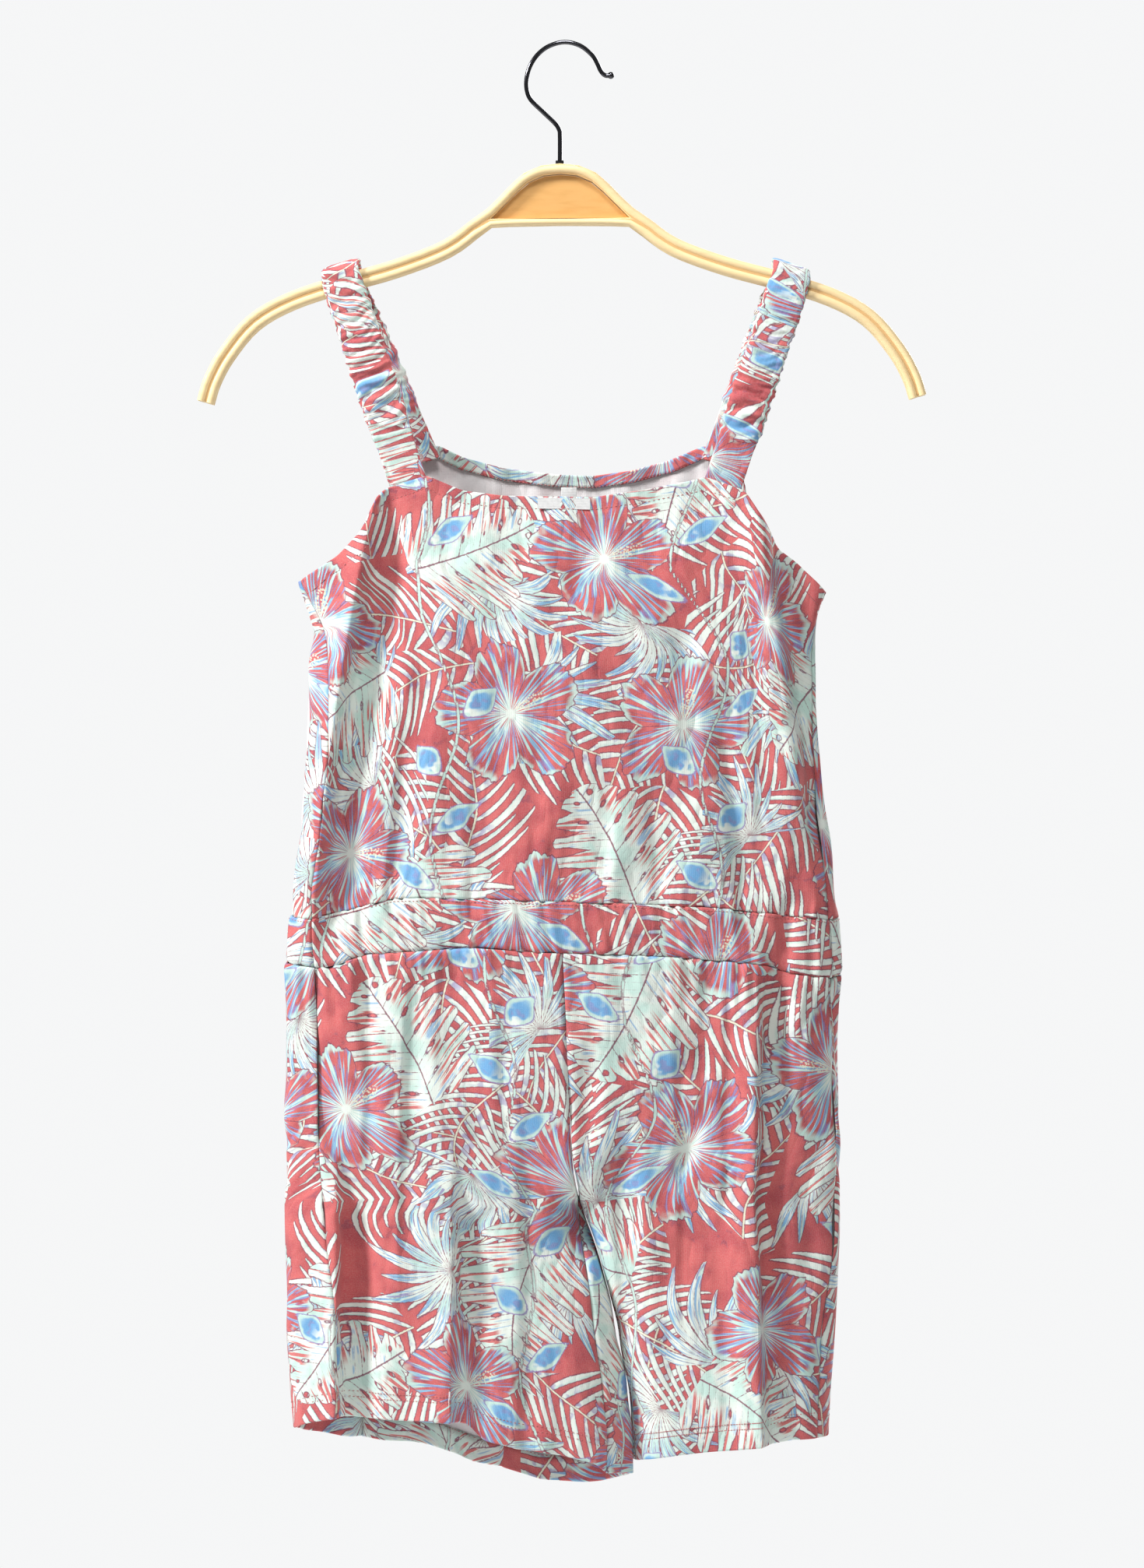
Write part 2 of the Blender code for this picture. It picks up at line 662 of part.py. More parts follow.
def build_strap(strap):
    """A band gathered over elastic: ruffles square to its run, scalloped at both edges."""
    name, tilt = strap[0], radians(strap[6])
    width_way = Vector((cos(tilt), 0.0, sin(tilt)))
    steps = 4 * GATHERS_PER_PLY + STEPS_OVER_ARM
    lengths = [0.0]
    points = [strap_line(strap, index / steps) for index in range(steps + 1)]
    for start, end in zip(points, points[1:]):
        lengths.append(lengths[-1] + (end - start).length)

    def outward(across, along):
        index = round(along * steps)
        ahead = points[min(index + 1, steps)] - points[max(index - 1, 0)]
        return width_way.cross(ahead).normalized()

    def place(across, along):
        index = round(along * steps)
        from_end = min(lengths[index], lengths[-1] - lengths[index])
        ruffle = (index % 2) * smooth((from_end - SMOOTH_END) / GATHERS_START)
        side = (across - 0.5) * 2.0
        half = STRAP_WIDTH / 2.0 - EDGE_SCALLOP + 2.0 * EDGE_SCALLOP * ruffle
        raised = STRAP_CROWN * (1.0 - side * side) + 2.0 * STRAP_GATHER * ruffle
        return points[index] + width_way * half * side + outward(across, along) * raised

    cloth(name, 2, steps, place, outward, STRAP_WALL)


def label_point(across, down):
    left, right, drop, height, thickness = LABEL
    x = mix(left, right, across)
    z = top_line("front", x) - drop - height * down
    y = body_depth("front", x, z) + fold_depth(FRONT_FOLDS, x, z) - LABEL_GAP - thickness
    return Vector((x, y, z))


for leftover in list(bpy.data.objects):
    bpy.data.objects.remove(leftover)
collection = bpy.data.collections.new("romper_on_hanger")
bpy.context.scene.collection.children.link(collection)

for face in ("front", "back"):
    places = bodice_columns(face)

    def bodice_place(across, down):
        """Between two columns, and past the outer ones, the share runs on straight."""
        along = across * (len(places) - 1)
        index = min(max(int(along), 0), len(places) - 2)
        return bodice_point(face, mix(places[index], places[index + 1], along - index), down)

    cloth("bodice_" + face, len(places) - 1, 13, bodice_place)

    def band_base(across, down):
        return band_point(face, across, down)

    def band_place(across, down):
        column = round(across * BAND_COLUMNS)
        at_seam = min(1, column, BAND_COLUMNS - column)
        return band_point(face, across, down, BAND_GATHER * (-1.0) ** column * at_seam)

    def band_outward(across, down):
        return facing(band_base, across, down)

    cloth("waistband_" + face, BAND_COLUMNS, 2, band_place, band_outward)
for leg_side in ("left", "right"):
    for leg_face, leg_columns in (("front", 16), ("back", 16)):
        cloth(
            f"leg_{leg_face}_{leg_side}",
            leg_columns,
            14,
            lambda across, down: leg_point(leg_side, leg_face, across, down),
            lambda across, down: leg_outward(leg_side, leg_face, across, down),
        )
for strap_row in STRAPS:
    build_strap(strap_row)
cloth("neck_label", 4, 1, label_point, None, LABEL[4], LABEL_CLOTH)
build_hanger()
build_crown_panel()
build_hook()
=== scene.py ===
"""A child's printed romper with gathered straps, hanging on a moulded hanger.

Lengths are millimetres, and MM turns them into metres. +Z is up and the front faces -Y.
The origin is the top of the hook's inside. Left and right are the viewer's.
"""

from math import atan, ceil, pi, radians

import bmesh
import bpy
import numpy as np
from mathutils import Matrix, Vector


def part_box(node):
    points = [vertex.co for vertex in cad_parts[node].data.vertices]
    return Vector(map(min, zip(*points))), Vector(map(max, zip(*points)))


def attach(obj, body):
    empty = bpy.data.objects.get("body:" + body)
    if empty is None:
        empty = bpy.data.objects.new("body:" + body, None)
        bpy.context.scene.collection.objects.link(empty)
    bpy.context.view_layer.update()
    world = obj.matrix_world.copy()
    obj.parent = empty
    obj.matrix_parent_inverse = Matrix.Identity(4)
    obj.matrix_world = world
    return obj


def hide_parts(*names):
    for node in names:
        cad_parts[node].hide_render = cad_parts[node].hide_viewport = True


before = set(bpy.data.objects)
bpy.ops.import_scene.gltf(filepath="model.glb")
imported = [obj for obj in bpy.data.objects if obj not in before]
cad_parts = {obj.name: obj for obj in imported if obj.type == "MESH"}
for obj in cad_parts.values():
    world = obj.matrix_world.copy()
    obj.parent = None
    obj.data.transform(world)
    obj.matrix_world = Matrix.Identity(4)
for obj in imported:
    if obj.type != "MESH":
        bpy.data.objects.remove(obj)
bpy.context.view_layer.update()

MM = 0.001

# The printed jersey. The romper is cut from soft viscose jersey with a coral ground, printed all
# over with palm fronds, sprays of blades, slotted leaves, open flowers and buds on wavy stems. The
# larger motifs are laid out here on the flat cloth; the material draws them and the leaves between.
REPEAT = Vector((296.0, 344.0))  # width and height of the print's repeat
FLOWERS = (  # x, y, turn in degrees, reach of the petals
    (104.0, 168.0, 10.0, 45.0),
    (196.0, 126.0, 50.0, 47.0),
    (262.0, 322.0, 30.0, 45.0),
    (60.0, 316.0, 75.0, 43.0),
    (34.0, 62.0, 20.0, 44.0),
    (170.0, 246.0, 0.0, 43.0),
    (286.0, 212.0, 33.0, 40.0),
    (140.0, 28.0, 64.0, 42.0),
)
SLOTTED_LEAVES = (  # x, y, turn in degrees, length
    (76.0, 110.0, 250.0, 84.0),
    (228.0, 200.0, 300.0, 88.0),
    (150.0, 326.0, 215.0, 78.0),
    (258.0, 66.0, 20.0, 76.0),
    (24.0, 250.0, 120.0, 78.0),
)
STEMS = (  # x, sway from side to side, place of the sway in degrees
    (78.0, 8.0, 86.0),
    (226.0, 7.0, 172.0),
)
BUD = (12.4, 6.6, 14.0)  # half length, half width, distance from the stem
BUD_LEAN = (0.82, 0.57)  # cosine and sine of its turn out from the level
BUDS_SHOWN = 0.9
STEM_WAVES = 3.0  # in a repeat
BUDS_PER_REPEAT = 11
FAR = 9.0  # a distance that counts as far from every motif


def mix(start, end, share):
    return start + (end - start) * share


def smooth(share):
    """0 up to 0 and 1 from 1, with a soft start and end between."""
    share = np.clip(share, 0.0, 1.0)
    return share * share * (3.0 - 2.0 * share)


def scatter(number, seed):
    """A fixed value from 0 to 1 for each whole number, which looks like chance."""
    return np.modf(np.abs(np.sin(number * 12.9898 + seed * 78.233) * 43758.5453))[0]


def from_motif(u, v, row):
    """Place on the cloth as seen from the nearest repeat of a motif, and its distance in sizes."""
    x, y, turn, size = row
    along = (u - x + REPEAT.x / 2.0) % REPEAT.x - REPEAT.x / 2.0
    up = (v - y + REPEAT.y / 2.0) % REPEAT.y - REPEAT.y / 2.0
    cos, sin = np.cos(radians(turn)), np.sin(radians(turn))
    return along * cos + up * sin, up * cos - along * sin, np.hypot(along, up) / size


def nearest_motif(u, v, rows):
    found = from_motif(u, v, rows[0])
    for row in rows[1:]:
        other = from_motif(u, v, row)
        closer = other[2] < found[2]
        found = [np.where(closer, new, old) for new, old in zip(other, found)]
    return found


def stem_buds(u, v, row, seed):
    """Distance to the nearest bud, to the stem, and the place along the bud."""
    x, sway, turned = row
    along = (u - x + REPEAT.x / 2.0) % REPEAT.x - REPEAT.x / 2.0
    up = v % REPEAT.y
    off = along - sway * np.sin(2.0 * pi * STEM_WAVES * up / REPEAT.y + radians(turned))
    pitch = REPEAT.y / BUDS_PER_REPEAT
    bud = np.floor(up / pitch)
    side = np.where(bud % 2.0 == 0.0, 1.0, -1.0)
    rise = up - (bud + 0.5) * pitch
    outward = off * side - BUD[2]
    length = outward * BUD_LEAN[0] + rise * BUD_LEAN[1]
    width = rise * BUD_LEAN[0] - outward * BUD_LEAN[1]
    point = 1.0 - 0.6 * smooth(length / BUD[0]) - 0.3 * smooth(-length / BUD[0])
    to_bud = (np.hypot(length / BUD[0], width / BUD[1] / point) - 1.0) * BUD[1]
    to_bud = np.where(scatter(bud, seed) < BUDS_SHOWN, to_bud, FAR)
    return to_bud, np.abs(off), length / BUD[0]


def print_on(mesh, u, v):
    """Keeps on each point of a cloth mesh where it lies on the flat cloth and by which motifs."""
    buds = stem_buds(u, v, STEMS[0], 1)
    for seed, row in enumerate(STEMS[1:], 2):
        other = stem_buds(u, v, row, seed)
        closer = np.minimum(other[0], other[1]) < np.minimum(buds[0], buds[1])
        buds = [np.where(closer, new, old) for new, old in zip(other, buds)]
    kept = {
        "flat_cloth": (u * MM, v * MM, np.zeros(u.shape)),
        "flowers": nearest_motif(u, v, FLOWERS),
        "leaves": nearest_motif(u, v, SLOTTED_LEAVES),
        "buds": [np.clip(value, -FAR, FAR) for value in buds],
    }
    for name, values in kept.items():
        attribute = mesh.attributes.new(name, "FLOAT_VECTOR", "POINT")
        attribute.data.foreach_set("vector", np.stack(values, axis=-1).ravel())


CORAL = (0.665, 0.125, 0.125)
DEEP_CORAL = (0.50, 0.07, 0.085)
OFF_WHITE = (0.80, 0.86, 0.79)
MINT = (0.56, 0.76, 0.685)
SKY_BLUE = (0.14, 0.38, 0.68)
VIOLET = (0.28, 0.22, 0.48)
PLUM = (0.21, 0.04, 0.09)
CREAM = (0.80, 0.78, 0.60)
WRONG_SIDE = (0.82, 0.80, 0.80)
PINK_CAST = (0.78, 0.66, 0.66)
WALE, COURSE = 1.1, 0.8  # widths of the knit's columns and rows, drawn a little large
KNIT_HEIGHT = 0.2
CRUMPLE_HEIGHT = 60.0  # of the crumples to that of the knit
CRUMPLE_STRETCH = 0.45
PALM_PATCHES = ((66.0, 0.9), (88.0, 0.55))  # size for one frond, and share of the patches with one
PALM_BOW = 0.0035
LEAFLET_PITCH = 7.8  # between the leaflets of a frond where they leave its rib
LEAFLET_SLANT = (0.45, 0.017)  # how fast a leaflet runs along the rib, and its bow
SPRAY_PATCH = 76.0
SPRAYS_LEFT_OUT = 0.25
BLADE_TURN = 0.34  # angle between the blades of a spray
BLADE_LENGTH = (26.0, 60.0)
BLADE_HALF_WIDTH = (2.0, 4.0)
FAN_HALF_TURN = 2.1
SLOTS_PER_LEAF = 6.4
LEAF_BOW = 0.0024
LEAF_HALF_WIDTH = 0.42  # to its length
VEIN_SLANT = (0.55, 0.002)
PETALS = 5.0
STAMEN = (13.0, 9.0, 3.4)  # place from the middle of a flower, half length, half width


class Wire:
    """The output of a node, which can be reckoned with like a number."""

    def __init__(self, nodes, socket):
        self.nodes = nodes
        self.socket = socket

    def __pow__(self, power):
        return self.nodes.math("POWER", self, power)

    def __abs__(self):
        return self.nodes.math("ABSOLUTE", self)


def reckoning(operation, other_first):
    def method(self, other):
        return self.nodes.math(operation, *((other, self) if other_first else (self, other)))

    return method


for sign, operation in (("add", "ADD"), ("sub", "SUBTRACT"), ("mul", "MULTIPLY"), ("truediv", "DIVIDE")):
    setattr(Wire, f"__{sign}__", reckoning(operation, False))
    setattr(Wire, f"__r{sign}__", reckoning(operation, True))


class Nodes:
    """Short forms for the nodes of one material."""

    def __init__(self, name):
        self.material = bpy.data.materials.new(name)
        self.material.use_nodes = True
        self.tree = self.material.node_tree
        self.shader = self.tree.nodes["Principled BSDF"]

    def add(self, kind, inputs=(), **settings):
        made = self.tree.nodes.new(kind)
        for name, value in settings.items():
            setattr(made, name, value)
        for place, value in dict(inputs).items():
            self.put(value, made.inputs[place])
        return made

    def put(self, value, socket):
        if isinstance(value, Wire):
            self.tree.links.new(value.socket, socket)
        elif isinstance(value, tuple) and len(value) == 3 and socket.type == "RGBA":
            socket.default_value = (*value, 1.0)
        else:
            socket.default_value = value

    def settle(self, colour=None, **plain):
        """Sets the shader's colour, and its plain sockets by name, with _ for a space."""
        if colour is not None:
            self.put(colour, self.shader.inputs["Base Color"])
        for name, value in plain.items():
            self.shader.inputs[name.replace("_", " ")].default_value = value

    def output(self, node, place):
        return Wire(self, node.outputs[place])

    def math(self, operation, *values):
        return self.output(self.add("ShaderNodeMath", enumerate(values), operation=operation), 0)

    def ramp(self, value, start, end):
        """0 at the start and 1 at the end, with soft ends."""
        inputs = {"Value": value, "From Min": start, "From Max": end}
        made = self.add("ShaderNodeMapRange", inputs, interpolation_type="SMOOTHSTEP")
        return self.output(made, "Result")

    def over(self, below, colour, cover):
        made = self.add("ShaderNodeMix", {0: cover, 6: below, 7: colour}, data_type="RGBA")
        return self.output(made, 2)

    def noise(self, vector, scale, detail=2.0, roughness=0.5, place="Fac"):
        inputs = {"Vector": vector, "Scale": scale, "Detail": detail, "Roughness": roughness}
        return self.output(self.add("ShaderNodeTexNoise", inputs), place)

    def attribute(self, name):
        return self.output(self.add("ShaderNodeAttribute", attribute_name=name), "Vector")

    def place(self):
        return self.output(self.add("ShaderNodeTexCoord"), "Object")

    def vector(self, x, y, z=0.0):
        return self.output(self.add("ShaderNodeCombineXYZ", {"X": x, "Y": y, "Z": z}), "Vector")

    def parts(self, vector):
        made = self.add("ShaderNodeSeparateXYZ", {"Vector": vector})
        return [self.output(made, place) for place in range(3)]

    def chance(self, x, y):
        """A value from 0 to 1 that is the same wherever x and y are the same."""
        inputs = {"Vector": self.vector(x, y)}
        return self.output(self.add("ShaderNodeTexWhiteNoise", inputs, noise_dimensions="2D"), "Value")

    def patches(self, flat, size):
        """Place from the middle of the nearest patch, turned by its own chance, and the chances."""
        inputs = {"Vector": flat, "Scale": 1.0 / (size * MM), "Randomness": 0.85}
        patch = self.add("ShaderNodeTexVoronoi", inputs, voronoi_dimensions="2D")
        from_middle = {0: flat, 1: self.output(patch, "Position")}
        x, y, _ = self.parts(self.output(
            self.add("ShaderNodeVectorMath", from_middle, operation="SUBTRACT"), 0))
        chances = self.parts(self.output(patch, "Color"))
        cos = self.math("COSINE", chances[0] * (2.0 * pi)) / MM
        sin = self.math("SINE", chances[0] * (2.0 * pi)) / MM
        return x * cos + y * sin, y * cos - x * sin, chances

    def bump(self, height, strength, distance):
        inputs = {"Height": height, "Strength": strength, "Distance": distance}
        self.put(self.output(self.add("ShaderNodeBump", inputs), "Normal"), self.shader.inputs["Normal"])


def add_knit(nodes, flat):
    """Fine wales and courses of jersey along and across the cloth, and its soft upright crumples."""
    across, up, _ = nodes.parts(flat)
    wales = nodes.math("SINE", across * (2.0 * pi / (WALE * MM)))
    courses = nodes.math("SINE", up * (2.0 * pi / (COURSE * MM)))
    crumples = abs(nodes.noise(nodes.vector(across, up * CRUMPLE_STRETCH), 60.0, 2.0) - 0.5)
    knit = (wales + courses) * 0.25 + nodes.noise(flat, 900.0, 1.0)
    nodes.bump(knit + crumples * CRUMPLE_HEIGHT, 0.35, KNIT_HEIGHT * MM)


class Print(Nodes):
    """The motifs of the print, each drawn over the colour below it."""

    def __init__(self, name):
        super().__init__(name)
        self.flat = self.attribute("flat_cloth")
        swing = self.noise(self.flat, 15.0, 1.0, 0.5, "Color")
        swing = self.add("ShaderNodeVectorMath", {0: swing, 1: (0.5, 0.5, 0.5)}, operation="SUBTRACT")
        shift = {0: self.output(swing, 0), 1: (0.013, 0.013, 0.0), 2: self.flat}
        shifted = self.add("ShaderNodeVectorMath", shift, operation="MULTIPLY_ADD")
        self.drawn_by_hand = self.output(shifted, 0)
        self.ragged = (self.noise(self.flat, 560.0, 1.0) - 0.5) * 1.6
        self.wash = self.noise(self.flat, 60.0, 2.0)
        self.dabs = self.noise(self.flat, 190.0, 1.0)

    def inside(self, distance, margin=0.0, soft=0.22):
        return self.ramp(distance + self.ragged * 0.5, margin + soft, margin - soft)

    def drawn(self, colour, distance, fill, line=0.45, strength=0.8):
        """A filled motif with a thin plum line round it."""
        colour = self.over(colour, PLUM, self.inside(distance, line) * strength)
        return self.over(colour, fill, self.inside(distance))

    def line(self, colour, aside, half_width, strength, ink=PLUM):
        return self.over(colour, ink, self.inside(abs(aside), half_width, 0.18) * strength)

    def palms(self, colour, patch, share_shown):
        """Palm fronds with long bowed leaflets, a frond to a patch."""
        along, off, chances = self.patches(self.drawn_by_hand, patch)
        off = off - along * along * PALM_BOW
        side, away = self.math("SIGN", off), abs(off)
        slant, bow = LEAFLET_SLANT
        slope = away * (2.0 * bow) + slant
        stretch = self.math("SQRT", slope * slope + 1.0)
        place = (along - away * (away * bow + slant) + side * 3.0) / LEAFLET_PITCH
        leaflet = self.math("FLOOR", place)
        across = (place - leaflet - 0.5) * LEAFLET_PITCH / stretch
        chance = self.chance(leaflet + side * 20.0, chances[1])
        share = away * stretch / (chance * 0.6 + 0.42) / patch
        body = self.math("SINE", self.math("MINIMUM", share * 0.96 + 0.04, 1.0) ** 0.8 * pi) ** 0.6
        half = body * (chance * 0.19 + 0.14) * LEAFLET_PITCH / stretch
        left_out = self.ramp(chances[2], share_shown, share_shown + 0.01)
        hidden = self.math("MAXIMUM", self.ramp(share, 0.96, 1.04), left_out)
        distance = abs(across + (chance - 0.5) * 1.6) - half + hidden * FAR
        one_side = self.ramp(across / (half + 0.2), -0.3, 0.7)
        tint = self.over(OFF_WHITE, MINT, one_side * self.ramp(self.wash, 0.35, 0.6))
        tint = self.over(tint, VIOLET, self.ramp(share, 0.35, 0.0) * self.ramp(self.dabs, 0.45, 0.6) * 0.8)
        colour = self.drawn(colour, distance, tint, 0.5, 0.85)
        return self.drawn(colour, away - 0.45 + hidden * FAR, CREAM, 0.4, 0.7)

    def sprays(self, colour):
        """Fans of pointed blades with blue and violet streaks along them."""
        along, off, chances = self.patches(self.drawn_by_hand, SPRAY_PATCH)
        radius = self.math("SQRT", along * along + off * off)
        angle = self.math("ARCTAN2", off, along)
        bowed = angle + radius * (chances[1] - 0.5) * 0.035
        place = bowed / BLADE_TURN
        blade = self.math("FLOOR", place)
        across = (place - blade - 0.5) * BLADE_TURN * radius
        chance = self.chance(blade, chances[2])
        share = radius / mix(*BLADE_LENGTH, chance)
        body = self.math("SINE", self.math("MINIMUM", share, 1.0) ** 0.75 * pi) ** 0.8
        half = self.math("MINIMUM", body * mix(*BLADE_HALF_WIDTH, chance), radius * (BLADE_TURN * 0.44))
        in_fan = self.ramp(abs(angle), FAN_HALF_TURN, FAN_HALF_TURN - 0.05)
        chosen = self.ramp(chances[2], SPRAYS_LEFT_OUT, SPRAYS_LEFT_OUT + 0.01)
        shown = in_fan * chosen * self.ramp(share, 1.03, 0.98)
        distance = abs(across) - half * shown + (1.0 - shown) * FAR
        streak = self.noise(self.vector(bowed * 26.0, radius * 0.05), 1.0, 1.0)
        tint = self.over(OFF_WHITE, MINT, self.ramp(self.wash, 0.46, 0.6))
        tint = self.over(tint, SKY_BLUE, self.ramp(streak, 0.52, 0.58) * self.ramp(share, 0.2, 0.6) * 0.85)
        violet = self.ramp(streak, 0.44, 0.38) * self.ramp(self.wash, 0.44, 0.52)
        tint = self.over(tint, VIOLET, violet * 0.85)
        tint = self.line(tint, across, 0.12, 0.6)
        return self.drawn(colour, distance, tint, 0.5, 0.85)

    def slotted_leaves(self, colour):
        """Broad leaves cut by slots from the edge and pierced by small holes near the rib."""
        along, off, sizes = self.parts(self.attribute("leaves"))
        size = self.math("SQRT", along * along + off * off) / self.math("MAXIMUM", sizes, 0.001)
        off = off - along * along * LEAF_BOW
        share, side, away = along / size + 0.5, self.math("SIGN", off), abs(off)
        slant, bow = VEIN_SLANT
        place = (along - away * slant + away * away * bow + side * 2.0) / size * SLOTS_PER_LEAF
        lobe = self.math("FLOOR", place)
        across = (place - lobe - 0.5) * size * (0.85 / SLOTS_PER_LEAF)
        heart = self.math("SINE", self.math("MAXIMUM", share * 0.88 + 0.12, 0.0) ** 0.85 * pi)
        half = self.math("MAXIMUM", heart, 0.0) ** 0.6 * size * LEAF_HALF_WIDTH
        rim = away - half * (1.1 - abs(place - lobe - 0.5) ** 2.0 * 0.9)
        chance = self.chance(lobe, side)
        out = away / self.math("MAXIMUM", half, 1.0)
        to_slot = size * (0.425 / SLOTS_PER_LEAF) - abs(across)
        opening = self.ramp(out, 0.15 + chance * 0.4, 0.8 + chance * 0.4) * 2.9 - 0.3
        slot = to_slot - opening
        near_rib = (out - 0.22 - chance * 0.2) * size * 0.12
        to_hole = self.math("SQRT", (across + chance * 4.0 - 2.0) ** 2.0 + near_rib * near_rib)
        hole = to_hole - chance * 1.7 - 0.2
        shown = self.ramp(sizes, 0.62, 0.58) * self.ramp(abs(share - 0.5), 0.5, 0.48)
        distance = self.math("MAXIMUM", rim, slot * -1.0)
        distance = self.math("MAXIMUM", distance, hole * -1.0) + (1.0 - shown) * FAR
        tint = self.over(OFF_WHITE, MINT, self.ramp(self.wash, 0.44, 0.62))
        stroke = self.noise(self.vector(across * 0.6, away * 0.035, lobe * 5.0), 1.0, 1.0)
        blue = self.ramp(stroke, 0.56, 0.64) * self.ramp(self.wash, 0.5, 0.4)
        tint = self.over(tint, SKY_BLUE, blue * 0.7)
        tint = self.over(tint, CORAL, self.ramp(stroke, 0.44, 0.40) * self.ramp(out, 0.2, 0.45) * 0.95)
        tint = self.line(tint, across, 0.16, 0.8)
        veins = self.math("PINGPONG", place * 3.0 + 0.5, 0.5) * size * (0.28 / SLOTS_PER_LEAF)
        tint = self.line(tint, veins, 0.02, 0.45)
        tint = self.line(tint, away, 0.45, 0.9)
        return self.drawn(colour, distance, tint, 0.5, 0.9)

    def flowers(self, colour):
        """Open flowers: five broad coral petals with pale streaks spreading from the middle."""
        along, off, sizes = self.parts(self.attribute("flowers"))
        radius = self.math("SQRT", along * along + off * off)
        size = radius / self.math("MAXIMUM", sizes, 0.001)
        angle = self.math("ARCTAN2", off, along)
        place = angle * (PETALS / (2.0 * pi)) + 0.5
        petal = self.math("FLOOR", place)
        aside = place - petal - 0.5
        chance = self.chance(petal, 3.0)
        around = self.vector(along / radius * 12.0, off / radius * 12.0, radius * 0.035)
        frill = self.noise(around, 0.55, 2.0) - 0.5
        edge = (1.0 - abs(aside) ** 2.0 * 1.7) * (chance * 0.16 + 0.80 + frill * 0.32) * size
        distance = (radius - edge) * 0.8 + self.ramp(sizes, 1.05, 1.15) * FAR
        share = radius / edge
        streak = self.noise(around, 1.15, 1.5, 0.45)
        stripe = self.noise(around, 1.9, 1.0, 0.4)
        spread = self.ramp(share, 0.05, 0.85)
        lit = streak - spread * 0.13 - abs(aside) * 0.12 * spread - 0.44
        petals = self.over(CORAL, DEEP_CORAL, self.ramp(share, 0.3, 0.9) * self.ramp(self.wash, 0.4, 0.6))
        petals = self.over(petals, PLUM, self.ramp(stripe, 0.55, 0.62) * self.ramp(share, 0.25, 0.5) * 0.55)
        petals = self.over(petals, VIOLET, self.ramp(lit, -0.05, -0.02) * 0.75)
        petals = self.over(petals, MINT, self.ramp(lit, -0.02, 0.01))
        blue = self.ramp(stripe, 0.43, 0.52) * self.ramp(lit, -0.03, 0.0) * self.ramp(share, 0.1, 0.35)
        petals = self.over(petals, SKY_BLUE, blue * 0.75)
        petals = self.over(petals, VIOLET, self.ramp(stripe, 0.6, 0.66) * self.ramp(share, 0.15, 0.4) * 0.8)
        petals = self.over(petals, OFF_WHITE, self.ramp(lit, 0.06, 0.10) * self.ramp(share, 0.45, 0.2))
        petals = self.over(petals, OFF_WHITE, self.ramp(radius, 3.6, 1.8))
        rim = self.ramp(share, 0.86, 0.97) * self.ramp(self.wash, 0.46, 0.54)
        petals = self.over(petals, MINT, rim * 0.9)
        seam = (0.5 - abs(aside)) * radius * (2.0 * pi / PETALS) + self.ramp(radius, 13.0, 8.0) * FAR
        petals = self.line(petals, seam, 0.25, 0.8)
        out, half_length, half_width = STAMEN
        stamen = self.math("SQRT", ((along - out) / half_length) ** 2.0 + (off / half_width) ** 2.0)
        inputs = {"Vector": self.flat, "Scale": 620.0}
        dots = self.output(self.add("ShaderNodeTexVoronoi", inputs, voronoi_dimensions="2D"), "Distance")
        dotted = self.ramp(stamen, 1.1, 0.9) * self.ramp(dots, 0.42, 0.30)
        petals = self.over(petals, CREAM, dotted * 0.85)
        return self.drawn(colour, distance, petals, 0.6, 0.9)

    def buds(self, colour):
        """Wavy stems with a plump blue bud on each side in turn."""
        distance, to_stem, place = self.parts(self.attribute("buds"))
        colour = self.drawn(colour, to_stem - 0.75, MINT, 0.4, 0.7)
        colour = self.over(colour, VIOLET, self.inside(distance, 0.7, 0.3) * 0.9)
        blue = self.ramp(distance + self.dabs * 3.0, 0.6, -1.2) * self.ramp(place, 1.2, 0.2)
        bud = self.over(MINT, SKY_BLUE, blue)
        bud = self.over(bud, OFF_WHITE, self.ramp(self.dabs, 0.46, 0.6) * self.ramp(place, 0.0, -0.7))
        violet = self.ramp(self.dabs, 0.5, 0.36) * self.ramp(distance, -2.2, -3.4)
        bud = self.over(bud, VIOLET, violet * 0.5)
        return self.over(colour, bud, self.inside(distance, 0.0, 0.3))


def printed_jersey():
    cloth = Print("printed_jersey")
    colour = cloth.over(CORAL, DEEP_CORAL, cloth.ramp(cloth.wash, 0.35, 0.7))
    hatch = cloth.ramp(cloth.dabs, 0.60, 0.66) * cloth.ramp(cloth.wash, 0.5, 0.6)
    colour = cloth.over(colour, PLUM, hatch * 0.45)
    for patch, share_shown in PALM_PATCHES:
        colour = cloth.palms(colour, patch, share_shown)
    for motif in (cloth.sprays, cloth.slotted_leaves, cloth.flowers, cloth.buds):
        colour = motif(colour)
    heather = cloth.ramp(cloth.noise(cloth.flat, 1500.0, 2.0, 0.7), 0.3, 0.75)
    colour = cloth.over(colour, OFF_WHITE, heather * 0.13)
    cloth.settle(colour, Roughness=0.86, Sheen_Weight=0.12, Sheen_Roughness=0.5, Specular_IOR_Level=0.25)
    add_knit(cloth, cloth.flat)
    return cloth.material


def wrong_side():
    """The back of the jersey, where the print shows through only as a faint pink cast."""
    nodes = Nodes("jersey_wrong_side")
    flat = nodes.attribute("flat_cloth")
    colour = nodes.over(WRONG_SIDE, PINK_CAST, nodes.ramp(nodes.noise(flat, 45.0, 3.0), 0.4, 0.8))
    nodes.settle(colour, Roughness=0.9, Specular_IOR_Level=0.2)
    add_knit(nodes, flat)
    return nodes.material


CLOTH = (printed_jersey(), wrong_side())
CLOTH_THICKNESS = 0.55

